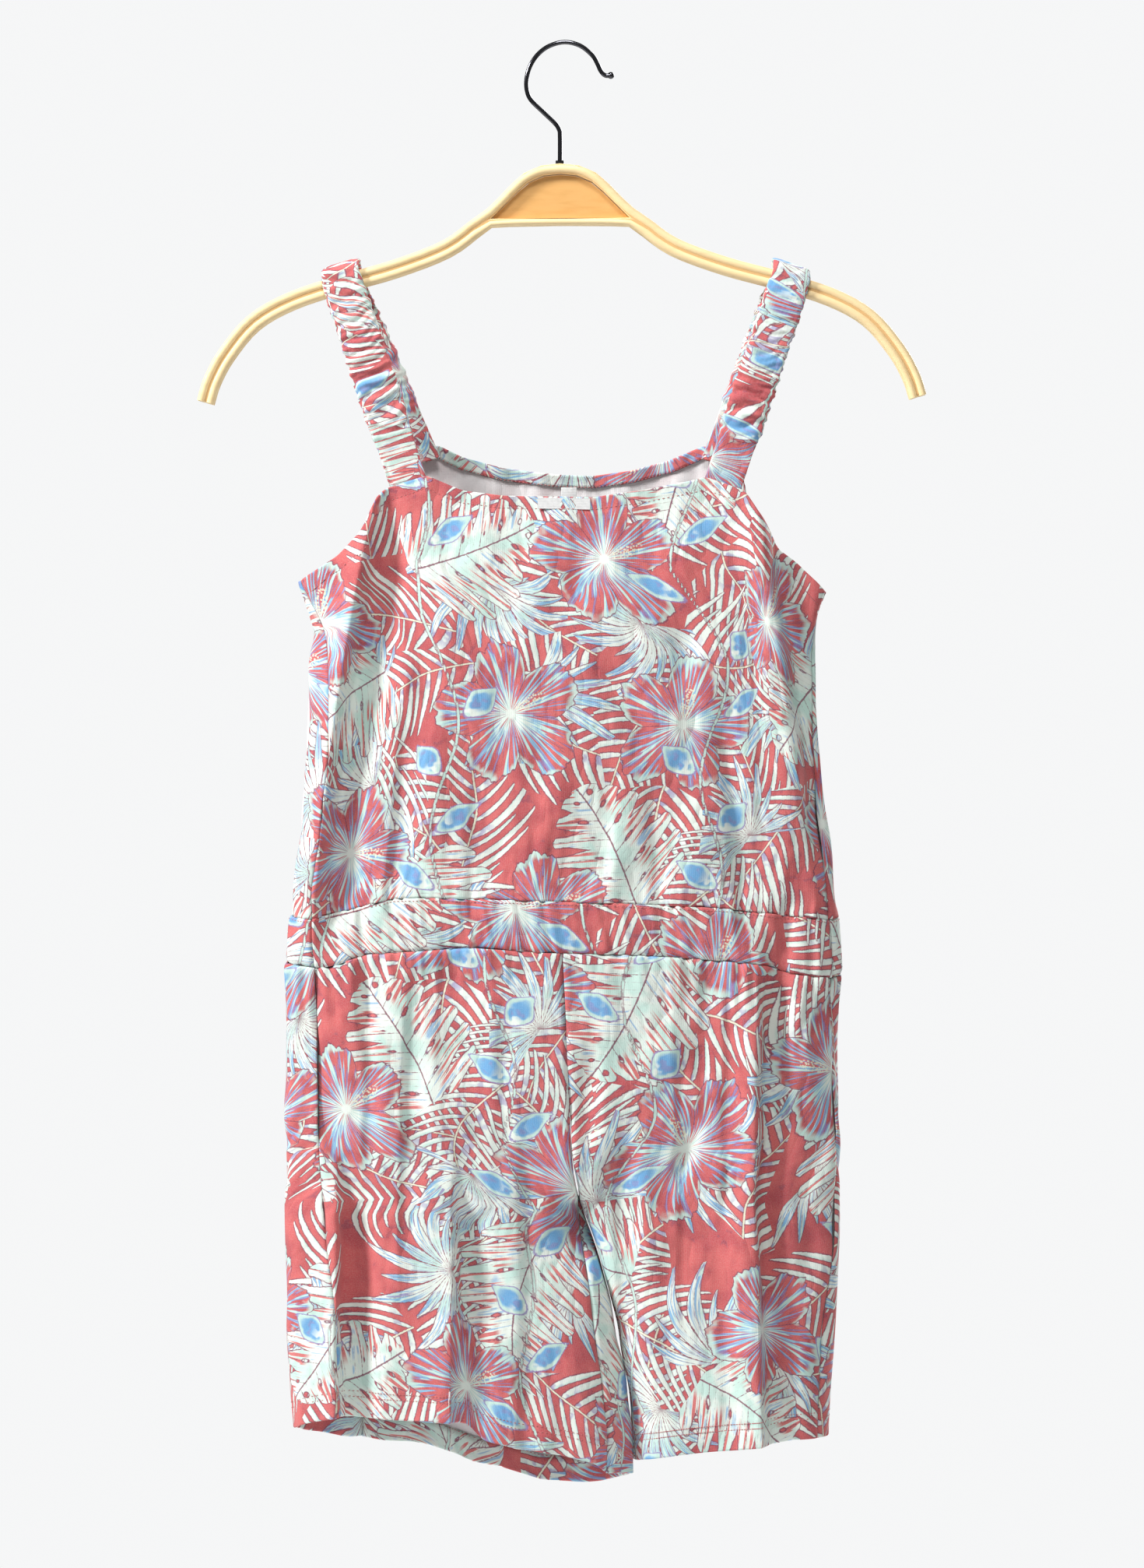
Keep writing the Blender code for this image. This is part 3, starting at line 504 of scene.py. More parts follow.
# The stitching. The turned edges are held by rows of straight stitches in coral polyester thread,
# each a small bead that lies a little sunk in the cloth.
THREAD = (0.60, 0.22, 0.22)
THREAD_SHADE = (0.42, 0.12, 0.13)
STITCH = (2.1, 1.5, 0.24)  # pitch, length, half thickness
STITCH_LIFT = 0.4  # of its half thickness
thread_finish = Nodes("thread")
thread_twist = thread_finish.ramp(thread_finish.noise(thread_finish.place(), 3000.0), 0.3, 0.7)
thread_finish.settle(thread_finish.over(THREAD, THREAD_SHADE, thread_twist), Roughness=0.6)


def add_piece(name, shape, finish):
    """Makes an object from a bmesh shape and frees the shape."""
    mesh = bpy.data.meshes.new(name)
    shape.to_mesh(mesh)
    shape.free()
    mesh.shade_smooth()
    mesh.materials.append(finish)
    made = bpy.data.objects.new(name, mesh)
    bpy.context.scene.collection.objects.link(made)
    return made


def sew(name, panel, lines):
    """Rows of stitches lying on a panel. Each line is a share of its height, a drop and a way in."""
    thread = bmesh.new()
    for share, drop, inward in lines:
        count = int(panel.run[-1] / STITCH[0])
        across = panel.even(2 * count)
        place, outward, _ = panel.lay(across, np.array([[share]]), np.array([[drop]]), inward)
        out_way = -1.0 if inward else 1.0
        for index in range(1, 2 * count - 1, 2):
            before, spot, after = (Vector(place[0, index + step]) for step in (-1, 0, 1))
            facing = Vector(outward[0, index]) * out_way
            along = (after - before).normalized()
            turn = Matrix((along, facing.cross(along), facing)).transposed().to_4x4()
            size = Matrix.Diagonal((STITCH[1] / 2.0, STITCH[2], STITCH[2], 1.0))
            spot = Matrix.Translation(spot + facing * STITCH[2] * STITCH_LIFT)
            shape = Matrix.Scale(MM, 4) @ spot @ turn @ size
            bmesh.ops.create_icosphere(thread, subdivisions=1, radius=1.0, matrix=shape)
    made = add_piece(name, thread, thread_finish.material)
    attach(made, "root")

# The bodice. A front and a back panel are sewn together at the sides, with the neck and armhole
# edges turned in and stitched. Hanging from the straps, the front falls in a long soft fold on
# each side, and the elastic below draws its foot into small gathers.
SQUARENESS = 0.6  # below 1, a ring's front and back are flatter than an ellipse's
TRUNK = (  # the ring round both legs and the bodice, with the side seams' places in front
    # z, left end, right end, front depth, back depth, left seam, right seam
    (-205.0, -143.3, 148.0, 11.0, 10.0, -142.7, 147.2),
    (-237.0, -143.3, 148.0, 13.0, 12.0, -142.7, 147.2),
    (-293.6, -143.3, 148.0, 17.0, 15.0, -142.7, 147.0),
    (-312.0, -137.0, 142.0, 18.5, 16.0, -132.5, 140.0),
    (-322.0, -134.0, 140.7, 19.0, 16.5, -128.5, 138.6),
    (-335.0, -136.3, 139.8, 20.0, 17.0, -127.0, 137.6),
    (-384.0, -138.2, 141.5, 21.0, 18.0, -126.0, 138.2),
    (-422.0, -141.0, 145.0, 21.0, 18.0, -128.5, 141.0),
    (-465.0, -145.3, 150.5, 20.0, 17.0, -135.5, 146.0),
    (-497.0, -147.9, 153.0, 20.0, 17.0, -133.5, 147.5),
    (-529.0, -150.2, 153.8, 23.0, 19.0, -133.5, 149.0),
    (-593.0, -150.4, 154.2, 25.0, 22.0, -132.0, 151.5),
    (-656.0, -150.4, 152.0, 27.0, 24.0, -126.8, 149.0),
    (-699.0, -150.4, 150.4, 28.5, 25.5, -121.0, 143.6),
    (-756.0, -147.4, 147.9, 30.0, 27.0, -118.0, 140.0),
)
FRONT_TOP = (  # armhole, strap end, neckline, strap end, armhole: x, z
    (-142.8, -293.6),
    (-133.0, -288.0),
    (-120.6, -280.0),
    (-108.3, -267.6),
    (-101.1, -251.5),
    (-94.0, -243.3),
    (-72.0, -236.1),
    (-52.5, -244.2),
    (-31.3, -247.2),
    (18.1, -248.1),
    (46.2, -243.8),
    (67.4, -239.6),
    (78.5, -236.9),
    (99.8, -244.2),
    (110.4, -259.6),
    (118.5, -275.7),
    (132.1, -287.2),
    (147.2, -299.5),
)
BACK_TOP = (
    (-142.8, -293.6),
    (-122.0, -287.5),
    (-108.0, -277.0),
    (-99.0, -262.0),
    (-91.0, -243.0),
    (-89.4, -225.7),
    (-67.6, -218.3),
    (-53.8, -225.0),
    (-31.3, -231.0),
    (-3.2, -234.4),
    (18.1, -235.3),
    (39.4, -232.3),
    (60.2, -226.8),
    (79.4, -218.8),
    (101.0, -226.2),
    (101.8, -243.0),
    (107.0, -262.0),
    (116.0, -279.0),
    (131.0, -290.0),
    (147.2, -299.5),
)
WAIST_TOP = (  # x, z of the seam over the waistband
    (-150.0, -479.0),
    (-137.0, -478.3),
    (-109.6, -471.9),
    (-87.9, -466.5),
    (-64.9, -466.3),
    (35.1, -469.3),
    (89.6, -471.9),
    (121.9, -475.7),
    (155.0, -479.0),
)
BACK_WAIST_TOP = (-471.0, -478.2, -478.1)  # middle, left seam, right seam
ARMPIT_Z = -293.6
WAIST_Z = -485.0
FRONT_FOLDS = (  # positive depth is a trough, negative a ridge
    # x and z at the top, x and z at the foot, bow to the side, depth, width
    (-28.0, -330.0, -38.0, -466.0, 0.0, 1.8, 9.0),
    (44.0, -360.0, 52.0, -466.0, 0.0, 1.5, 10.0),
    (-107.4, -458.0, -107.0, -545.0, 0.0, 3.0, 5.0),
    (-62.0, -480.0, -54.0, -560.0, 2.0, 1.8, 7.0),
    (124.9, -462.0, 114.0, -560.0, 0.0, 3.5, 5.0),
    (72.0, -640.0, 78.0, -860.0, 0.0, 3.0, 12.0),
)
BACK_FOLDS = (
    (-88.0, -240.0, -112.0, -440.0, 0.0, 5.0, 9.0),
    (96.0, -242.0, 118.0, -440.0, 0.0, 5.0, 9.0),
    (-30.0, -380.0, -34.0, -560.0, 0.0, 2.0, 10.0),
    (48.0, -390.0, 52.0, -560.0, 0.0, 2.0, 10.0),
    (-100.0, -600.0, -96.0, -800.0, 0.0, 6.0, 9.0),
    (-48.0, -620.0, -44.0, -810.0, 0.0, 5.0, 9.0),
    (96.0, -600.0, 98.0, -800.0, 0.0, 6.0, 8.0),
)
CREASES = (  # sharper on one side: as the folds, with a width to the left and one to the right
    (-93.0, -216.0, -138.0, -520.0, -7.0, -7.5, 9.0, 3.0),
    (-86.0, -220.0, -127.0, -520.0, -7.0, 9.0, 4.5, 15.0),
    (102.0, -216.0, 138.0, -470.0, 2.0, -6.0, 14.0, 3.0),
    (109.0, -220.0, 146.0, -470.0, 2.0, 8.0, 4.5, 9.0),
    (-121.0, -590.0, -122.0, -880.0, 0.0, -5.5, 8.0, 2.6),
    (-115.0, -590.0, -115.0, -880.0, 0.0, 7.5, 3.2, 12.0),
    (-59.0, -590.0, -58.0, -890.0, 0.0, -5.0, 12.0, 2.6),
    (-53.0, -590.0, -51.0, -890.0, 0.0, 6.5, 3.2, 12.0),
    (110.0, -460.0, 120.0, -890.0, -8.0, -6.0, 12.0, 2.6),
    (116.0, -460.0, 126.0, -890.0, -8.0, 7.5, 3.2, 9.0),
    (-20.0, -560.0, -24.0, -860.0, 4.0, 3.0, 3.5, 9.0),
    (30.0, -570.0, 42.0, -860.0, 0.0, 3.4, 3.5, 10.0),
    (64.0, -500.0, 66.0, -720.0, 2.0, 2.6, 3.0, 8.0),
    (92.0, -500.0, 88.0, -660.0, 2.0, 2.4, 3.0, 7.0),
    (-78.0, -490.0, -84.0, -690.0, -2.0, 2.6, 3.0, 8.0),
    (-104.0, -480.0, -106.0, -640.0, 2.0, 2.4, 3.0, 6.0),
    (-84.0, -350.0, -98.0, -500.0, 3.0, 2.4, 3.0, 9.0),
    (86.0, -360.0, 100.0, -505.0, 2.0, 2.8, 3.0, 8.0),
    (-46.0, -380.0, -52.0, -500.0, 2.0, 1.8, 3.0, 7.0),
    (50.0, -390.0, 58.0, -500.0, -2.0, 1.8, 3.0, 7.0),
    (22.0, -520.0, 14.0, -640.0, -2.0, 1.8, 5.0, 3.0),
    (40.0, -560.0, 46.0, -700.0, 2.0, -1.5, 5.0, 7.0),
    (-30.0, -520.0, -36.0, -640.0, 2.0, 1.2, 3.0, 6.0),
    (-84.0, -560.0, -88.0, -700.0, 0.0, -1.4, 6.0, 8.0),
    (84.0, -640.0, 90.0, -790.0, 3.0, 1.8, 4.0, 8.0),
    (-60.0, -300.0, -72.0, -400.0, 4.0, -1.0, 8.0, 6.0),
    (66.0, -300.0, 74.0, -420.0, 2.0, 1.2, 6.0, 4.0),
    (6.0, -330.0, 4.0, -450.0, 3.0, 0.9, 4.0, 7.0),
    (-6.0, -400.0, -12.0, -466.0, 0.0, -1.2, 4.0, 4.0),
    (28.0, -390.0, 24.0, -466.0, 0.0, 1.2, 4.0, 4.0),
)
FOLD_END = 1.0 / 6.0  # share of a fold's length over which each end fades out
CREASE_END = 1.6 * FOLD_END
SIDE_FADE = 0.4  # share of a ring's depth from which folds have their whole depth
DRAPE_START = 18.0  # above the waist, the height by which drapes have their whole depth
GRID = 1.55  # spacing of the points that shape the cloth
NECK_HEM = 6.8
HEM_DIP = 0.3
EDGE_RADIUS = 0.75  # of the turned edge, to the outside of the cloth
EDGE_STEPS = 5
SEAM_ROLL = (0.9, 1.3)  # how far the cloth turns in at a seam, and over what width
RUCK = 0.25  # unevenness of the cloth: height of each of its slow waves
RUCK_WAVES = 9
RUCK_LENGTHS = (22.0, 56.0)
WIDEST_PANEL = 340.0
RIDGE_CHANCE = {  # least and most of what differs from one gathered ridge to the next
    "aside": (-0.4, 0.4),  # to the spacing
    "length": (0.35, 1.45),  # to the given length
    "width": (0.26, 0.46),  # to the spacing
    "height": (0.4, 1.4),  # to the given height
    "lean": (-0.08, 0.08),  # sideways for each millimetre of drop
}
DRAPE_INSET = 16.0  # from the side seams to where drapes have their whole depth
WAIST_GATHERS = (5.2, 0.9, 42.0)  # spacing, height, length
BODICE_DRAPES = (25.0, 2.0, 260.0)
NECK_PUCKERS = (6.4, 0.3, 9.0)
STITCH_GROOVE = 0.9  # half width of the dip along a row of stitches
BODICE_HEIGHT = 236.0
STEEPEST_EDGE = 2.6  # most that a slanting edge lengthens its hem
TRIAL_STEPS = 400  # over which a panel's width is measured
NEAR = (0.002, 0.4)  # to the points that show which way the cloth faces: share across, drop


def read(table, at, column=1, reach=3.0):
    """Reads a column of a table by its first column, with the corners at the rows rounded."""
    rows = sorted(table)
    places = [row[0] for row in rows]
    values = [row[column] for row in rows]
    return sum(np.interp(at + step * reach, places, values) for step in (-1.0, 0.0, 1.0)) / 3.0


def ring(left, right, front, back, angle):
    """x and y of a flattened ring: -90 degrees at its left end, 0 in front and 180 behind."""
    lean = np.cos(angle)
    depth = np.where(lean > 0.0, front, back)
    x = (left + right) / 2.0 + (right - left) / 2.0 * np.sin(angle)
    return x, -depth * np.sign(lean) * np.abs(lean) ** SQUARENESS


def front_angle(left, right, x):
    return np.arcsin(np.clip((x - (left + right) / 2.0) / ((right - left) / 2.0), -1.0, 1.0))


def trunk(z):
    return [read(TRUNK, z, column) for column in range(1, 7)]


def fold_depth(folds, x, z, end=FOLD_END):
    """How far the cloth lies in from its smooth ring, over all folds that pass near x at z."""
    total = np.zeros(np.broadcast(x, z).shape)
    for top_x, top_z, foot_x, foot_z, bow, depth, *widths in folds:
        down = np.clip((top_z - z) / (top_z - foot_z), 0.0, 1.0)
        off = x - mix(top_x, foot_x, down) - 4.0 * bow * down * (1.0 - down)
        fade = smooth(np.minimum(down, 1.0 - down) / end)
        total = total + depth * fade * np.exp(-((off / np.where(off < 0.0, widths[0], widths[-1])) ** 2))
    return total


def folded(x, y, z, front, back):
    """y moved in or out by the folds of the side that it is on."""
    in_front = fold_depth(FRONT_FOLDS, x, z) + fold_depth(CREASES, x, z, CREASE_END)
    behind = fold_depth(BACK_FOLDS, x, z) + fold_depth(CREASES, -x, z, CREASE_END)
    from_front = y + in_front * smooth(-y / front / SIDE_FADE)
    from_back = y - behind * smooth(y / back / SIDE_FADE)
    return np.where(y < 0.0, from_front, from_back)


def panel_turns(face, z):
    """The angles at which a bodice panel or waistband starts and ends.

    They run from left to right in front, and from right to left round the back."""
    left, right, _, _, seam_left, seam_right = trunk(z)
    if face == "front":
        return front_angle(left, right, seam_left), front_angle(left, right, seam_right)
    return front_angle(left, right, seam_right), front_angle(left, right, seam_left) + 2.0 * pi


def body_point(face, across, z, proud=0.0):
    """x, y and z on the bodice or waistband, across its panel by angle."""
    left, right, front, back = trunk(z)[:4]
    start, end = panel_turns(face, z)
    around = mix(start, end, across)
    x, y = ring(left - proud, right + proud, front + proud, back + proud, around)
    return x, folded(x, y, z, front, back), z


def waist_line(face, x, across, front_table, back_line):
    """The height of a waist seam, by x in front and by the share of the way round behind."""
    if face == "front":
        return read(front_table, x)
    middle, at_left, at_right = back_line
    rise = middle - (at_left + at_right) / 2.0
    return mix(at_right, at_left, across) + rise * np.sin(pi * across)


def bodice_ends(face, across):
    """The heights of a column's two ends, and how much longer a slanting edge makes its hem."""
    top_table = FRONT_TOP if face == "front" else BACK_TOP
    top_x = body_point(face, across, ARMPIT_Z)[0]
    top = read(top_table, top_x, reach=1.5)
    slope = (read(top_table, top_x + 2.0, reach=1.5) - read(top_table, top_x - 2.0, reach=1.5)) / 4.0
    waist_x = body_point(face, across, WAIST_Z)[0]
    foot = waist_line(face, waist_x, across, WAIST_TOP, BACK_WAIST_TOP)
    return top, foot, np.minimum(np.hypot(1.0, slope), STEEPEST_EDGE)


def turned_edge(depth, rows):
    """Rows of a panel with its first edge turned in: share of the panel's height, drop from the
    edge, and how far in, from the raw edge inside, over the turn and down the outside."""
    inside = [(0.0, drop, 2.0 * EDGE_RADIUS) for drop in np.linspace(depth, 1.6 * EDGE_RADIUS, 4)]
    over = []
    for angle in np.linspace(pi, 0.0, EDGE_STEPS):
        over.append((0.0, EDGE_RADIUS * (1.0 - np.sin(angle)), EDGE_RADIUS * (1.0 - np.cos(angle))))
    outside = [(share, 1.6 * EDGE_RADIUS * (1.0 - share), 0.0) for share in np.linspace(0.0, 1.0, rows)]
    return np.array(inside + over + outside)


def rucks(x, z, seed):
    """Slight unevenness: a few slow waves at set slants."""
    total = np.zeros(np.broadcast(x, z).shape)
    for wave in range(RUCK_WAVES):
        slant = 2.0 * pi * scatter(wave + 1.0, seed)
        length = mix(*RUCK_LENGTHS, scatter(wave + 2.0, seed + 5))
        phase = 2.0 * pi * scatter(wave + 3.0, seed + 9)
        along = x * np.cos(slant) * 1.4 + z * np.sin(slant) * 0.7
        total = total + np.sin(2.0 * pi * along / length + phase)
    return total * RUCK


def gathers(u, drop, seed, spacing, height, run):
    """Soft ridges that start where the cloth is drawn in, uneven in place, height and length."""
    total = np.zeros(np.broadcast(u, drop).shape)
    count = int(WIDEST_PANEL / spacing)
    for ridge in range(count):
        draws = [scatter(ridge + step, seed + step) for step in (1.0, 2.0, 3.0, 4.0, 4.0)]
        aside, longer, wider, higher, lean = map(mix, *zip(*RIDGE_CHANCE.values()), draws)
        middle = (ridge - count / 2.0 + aside) * spacing
        fade = np.clip(1.0 - drop / (run * longer), 0.0, 1.0) ** 1.5
        off = (u - middle - lean * drop) / (spacing * wider)
        total = total + height * higher * fade * np.exp(-(off**2))
    return total


def drapes(u, drop, seed, spacing, depth, run):
    """Long soft troughs, laid out as gathers, that stay clear of the panel's side seams."""
    inset = smooth((np.abs(u[:, -1:]) - np.abs(u)) / DRAPE_INSET)
    return -gathers(u, drop, seed, spacing, depth, run) * inset


class Panel:
    """A cut piece of jersey. surface(across, share, drop) gives x, y, z of its smooth form, and
    detail(u, place, across) how far the cloth stands out from that."""

    def __init__(self, node, surface, detail, clockwise):
        self.node, self.surface, self.detail = node, surface, detail
        self.turn = 1.0 if clockwise else -1.0
        fine = np.linspace(0.0, 1.0, TRIAL_STEPS)[None, :]
        middle = np.stack(np.broadcast_arrays(*surface(fine, 0.5, 0.0)))[:, 0]
        lengths = np.sqrt((np.diff(middle, axis=1) ** 2).sum(axis=0))
        self.fine, self.run = fine[0], np.concatenate(([0.0], np.cumsum(lengths)))

    def even(self, parts):
        """Shares of the way across that are evenly spaced along the cloth."""
        return np.interp(np.linspace(0.0, self.run[-1], parts + 1), self.run, self.fine)[None, :]

    def lay(self, across, share, drop, inward):
        """Points of the cloth, their outward directions, and how far along each row they are."""

        def points(step_across, step_drop):
            moved = self.surface(across + step_across, share, drop + step_drop)
            return np.stack(np.broadcast_arrays(*moved), axis=-1)

        place = points(0.0, 0.0)
        sideways = points(NEAR[0], 0.0) - points(-NEAR[0], 0.0)
        upwards = points(0.0, -NEAR[1]) - points(0.0, NEAR[1])
        outward = self.turn * np.cross(sideways, upwards)
        outward /= np.linalg.norm(outward, axis=-1, keepdims=True)
        steps = np.sqrt((np.diff(place, axis=1) ** 2).sum(axis=-1))
        u = np.concatenate((np.zeros((len(place), 1)), np.cumsum(steps, axis=1)), axis=1)
        from_seam = np.minimum(u, u[:, -1:] - u)
        u = u - u[:, u.shape[1] // 2, None]
        raised = self.detail(u, place, across) - inward
        raised = raised - SEAM_ROLL[0] * np.exp(-((from_seam / SEAM_ROLL[1]) ** 2))
        return place + outward * raised[..., None], outward, u

    def cut(self, rows, edge_way, cloth_shift):
        """Makes the piece: a fine grid given thickness, printed by where it lies on the flat cloth.

        Where the cloth is turned in over an edge, the print runs on, up or down by edge_way."""
        columns = ceil(self.run[-1] / GRID)
        share, drop, inward = (rows[:, column, None] for column in range(3))
        place, _, u = self.lay(self.even(columns), share, drop, inward)
        flat_v = place[..., 2] + edge_way * 2.0 * np.where(inward > 0.0, drop, 0.0)
        piece = bmesh.new()
        bmesh.ops.create_grid(piece, x_segments=columns, y_segments=len(rows) - 1, size=0.5)
        if self.turn < 0.0:
            bmesh.ops.reverse_faces(piece, faces=piece.faces)
        mesh = bpy.data.meshes.new(self.node + "_cloth")
        piece.to_mesh(mesh)
        piece.free()
        spread_over(mesh, place, u + cloth_shift[0], flat_v + cloth_shift[1])
        return add_cloth(self.node, mesh)


def add_cloth(node, mesh):
    """Gives a cloth mesh its thickness and its wrong side, and puts it in place of its solid."""
    made = bpy.data.objects.new(node + "_cloth", mesh)
    bpy.context.scene.collection.objects.link(made)
    wall = made.modifiers.new("wall", "SOLIDIFY")
    wall.thickness = CLOTH_THICKNESS * MM
    wall.offset = -1.0
    wall.material_offset = 1
    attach(made, "root")
    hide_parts(node)
    return made


def spread_over(mesh, place, u, v):
    """Moves the points of a flat unit grid to their places, and prints on them."""
    rows, columns = place.shape[0] - 1, place.shape[1] - 1
    spots = np.empty(len(mesh.vertices) * 3)
    mesh.vertices.foreach_get("co", spots)
    spots = spots.reshape(-1, 3)
    column = np.rint((spots[:, 0] + 0.5) * columns).astype(int)
    row = np.rint((0.5 - spots[:, 1]) * rows).astype(int)
    mesh.vertices.foreach_set("co", (place[row, column] * MM).ravel())
    print_on(mesh, u[row, column], v[row, column])
    mesh.shade_smooth()
    for finish in CLOTH:
        mesh.materials.append(finish)


def build_bodice(face):
    def surface(across, share, drop):
        top, foot, slant = bodice_ends(face, across)
        return body_point(face, across, mix(top, foot, share) - drop * slant)

    def detail(u, place, across):
        x, z = place[..., 0], place[..., 2]
        top, foot, slant = bodice_ends(face, across)
        seed = 3 if face == "front" else 8
        from_stitch = (top - z) / slant - NECK_HEM
        hem = gathers(u, np.abs(from_stitch), seed + 1, *NECK_PUCKERS)
        hem = hem - HEM_DIP * np.exp(-((from_stitch / STITCH_GROOVE) ** 2))
        hung = drapes(u, z - foot, seed + 5, *BODICE_DRAPES) * smooth((z - foot) / DRAPE_START)
        return gathers(u, z - foot, seed, *WAIST_GATHERS) + rucks(x, z, seed) + hem + hung

    panel = Panel("bodice_" + face, surface, detail, True)
    shift = (0.0, 0.0) if face == "front" else (150.0, 60.0)
    made = panel.cut(turned_edge(NECK_HEM, ceil(BODICE_HEIGHT / GRID)), 1.0, shift)
    rows = [(0.0, NECK_HEM, 0.0), (0.0, NECK_HEM - 0.4, 2.0 * EDGE_RADIUS)]
    sew(f"bodice_{face}_stitching", panel, rows)


for face in ("front", "back"):
    build_bodice(face)

# The waistband. A band of the same jersey, front and back, is sewn over wide elastic between the
# bodice and the legs, so it stands a little proud and is drawn into close upright gathers.
WAIST_FOOT = (  # x, z of the seam under it
    (-150.0, -506.0),
    (-124.9, -503.4),
    (-106.2, -497.0),
    (-48.7, -493.2),
    (-8.3, -496.1),
    (35.1, -497.0),
    (73.0, -499.1),
    (111.3, -502.9),
    (126.2, -508.0),
    (155.0, -510.5),
)
BACK_WAIST_FOOT = (-496.4, -504.3, -509.8)
BAND_PROUD = 0.9
BAND_ROWS = 26
BAND_STITCHES = 1.6  # below its upper seam
BAND_TOP_GATHERS = (4.6, 1.1, 46.0)
BAND_FOOT_GATHERS = (5.6, 1.1, 40.0)


def build_waistband(face):
    def ends(across):
        x = body_point(face, across, WAIST_Z)[0]
        top = waist_line(face, x, across, WAIST_TOP, BACK_WAIST_TOP)
        return top, waist_line(face, x, across, WAIST_FOOT, BACK_WAIST_FOOT)

    def surface(across, share, drop):
        top, foot = ends(across)
        z = mix(top, foot, share) - drop
        down = np.clip((top - z) / (top - foot), 0.0, 1.0)
        return body_point(face, across, z, BAND_PROUD * np.sin(pi * down) ** 0.5)

    def detail(u, place, across):
        top, foot = ends(across)
        below, above = top - place[..., 2], place[..., 2] - foot
        seed = 13 if face == "front" else 17
        at_top = gathers(u, below, seed, *BAND_TOP_GATHERS)
        at_foot = gathers(u, above, seed + 4, *BAND_FOOT_GATHERS)
        seams = np.exp(-((above / 1.2) ** 2)) + 0.25 * np.exp(-(below**2))
        return at_top + at_foot - seams

    panel = Panel("waistband_" + face, surface, detail, True)
    rows = np.array([(share, 0.0, 0.0) for share in np.linspace(0.0, 1.0, BAND_ROWS)])
    shift = (64.0, 190.0) if face == "front" else (210.0, 20.0)
    made = panel.cut(rows, 0.0, shift)
    sew(f"waistband_{face}_stitching", panel, [(0.0, BAND_STITCHES, 0.0)])


for face in ("front", "back"):
    build_waistband(face)

# The legs. Each short leg is a front and a back panel, joined at the side, at the inseam and, above
# the crotch, to the other leg at the centre seam. The waist seam gathers them a little, and the
# hems are turned up inside and stitched with two rows.
CROTCH_Z = -632.0
FRONT_RISE_CURVE = 42.0  # height over which the front centre seam turns in to the crotch
BACK_RISE_CURVE = 60.0
LEG_SPLIT = (-580.0, -634.0)  # from one ring round both legs to a ring round each
INNER_LEG = (  # z, centre seam and below it the left leg's inseam, the line where the legs meet
    (-496.0, 1.5, 1.5),
    (-530.0, 3.2, 3.2),
    (-565.0, 4.5, 4.5),
    (-603.0, 6.6, 6.6),
    (-632.0, 10.5, 10.5),
    (-648.0, 12.0, 17.5),
    (-672.0, 15.1, 24.5),
    (-701.0, 18.9, 31.0),
    (-730.0, 23.6, 36.5),
    (-756.0, 26.0, 40.0),
    (-790.0, 25.3, 41.0),
)
LEG_CLEARANCE = 0.2
LEG_HEM = 14.0
LEG_HEIGHT = 270.0
TWIN_ROWS = 3.0  # between the hem's two rows of stitches
TWIN_GROOVE = 2.2  # half width of the dip along both rows
WAIST_SEAM = (1.0, 1.3)  # depth and half width of the dip at the seam over the legs
LEG_DRAPE_START = 20.0
LEG_GATHERS = (6.2, 1.5, 62.0)
LEG_DRAPES = (21.0, 3.0, 380.0)
HEM_DRAPES = (34.0, 2.6, 190.0)
HEM_PUCKERS = (8.0, 0.3, 12.0)
INSEAM_SETTLES = 45.0  # below the crotch, the drop in which the inseams reach their own lines
PULLED_FROM = 0.7  # share of the way across a leg panel where its inner seam starts to draw it in
HEMS = {  # share of the way from the side seam to the inner edge, z
    ("left", "front"): (
        (0.0, -747.6),
        (0.15, -749.0),
        (0.44, -750.6),
        (0.50, -760.4),
        (0.64, -765.5),
        (0.78, -768.5),
        (0.93, -773.1),
        (1.0, -778.5),
    ),
    ("left", "back"): (
        (0.0, -747.6),
        (0.12, -754.0),
        (0.31, -760.0),
        (0.40, -764.0),
        (0.475, -767.0),
        (0.55, -777.0),
        (0.63, -787.0),
        (0.70, -788.0),
        (0.86, -781.0),
        (1.0, -778.5),
    ),
    ("right", "front"): (
        (0.0, -759.5),
        (0.15, -760.2),
        (0.26, -763.3),
        (0.62, -768.5),
        (0.80, -771.4),
        (1.0, -773.6),
    ),
    ("right", "back"): ((0.0, -759.5), (0.15, -759.0), (0.5, -764.0), (0.85, -772.0), (1.0, -773.6)),
}
LEG_CUT_AT = {  # where in the print's repeat a panel is cut
    ("left", "front"): (30.0, 105.0),
    ("right", "front"): (175.0, 40.0),
    ("left", "back"): (90.0, 215.0),
    ("right", "back"): (240.0, 150.0),
}


def inner_edge(side, face, z):
    """Where a leg panel's inner edge runs: down the centre seam to the crotch, then the inseam."""
    left, _, front, back = trunk(z)[:4]
    inseam, meeting = read(INNER_LEG, z, 1), read(INNER_LEG, z, 2)
    curve = FRONT_RISE_CURVE if face == "front" else BACK_RISE_CURVE
    turned = np.clip(1.0 - (z - CROTCH_Z) / curve, 0.0, 1.0)
    rise_y = (-front if face == "front" else back) * np.sqrt(1.0 - turned**2)
    below = smooth((CROTCH_Z - z) / INSEAM_SETTLES)
    if side == "right":
        low_x, low_y = meeting + LEG_CLEARANCE * below, np.zeros(z.shape)
    else:
        end_y = ring(left, meeting, front, back, front_angle(left, meeting, inseam))[1]
        low_x, low_y = inseam, end_y * below
    return np.where(z >= CROTCH_Z, inseam, low_x), np.where(z >= CROTCH_Z, rise_y, low_y)


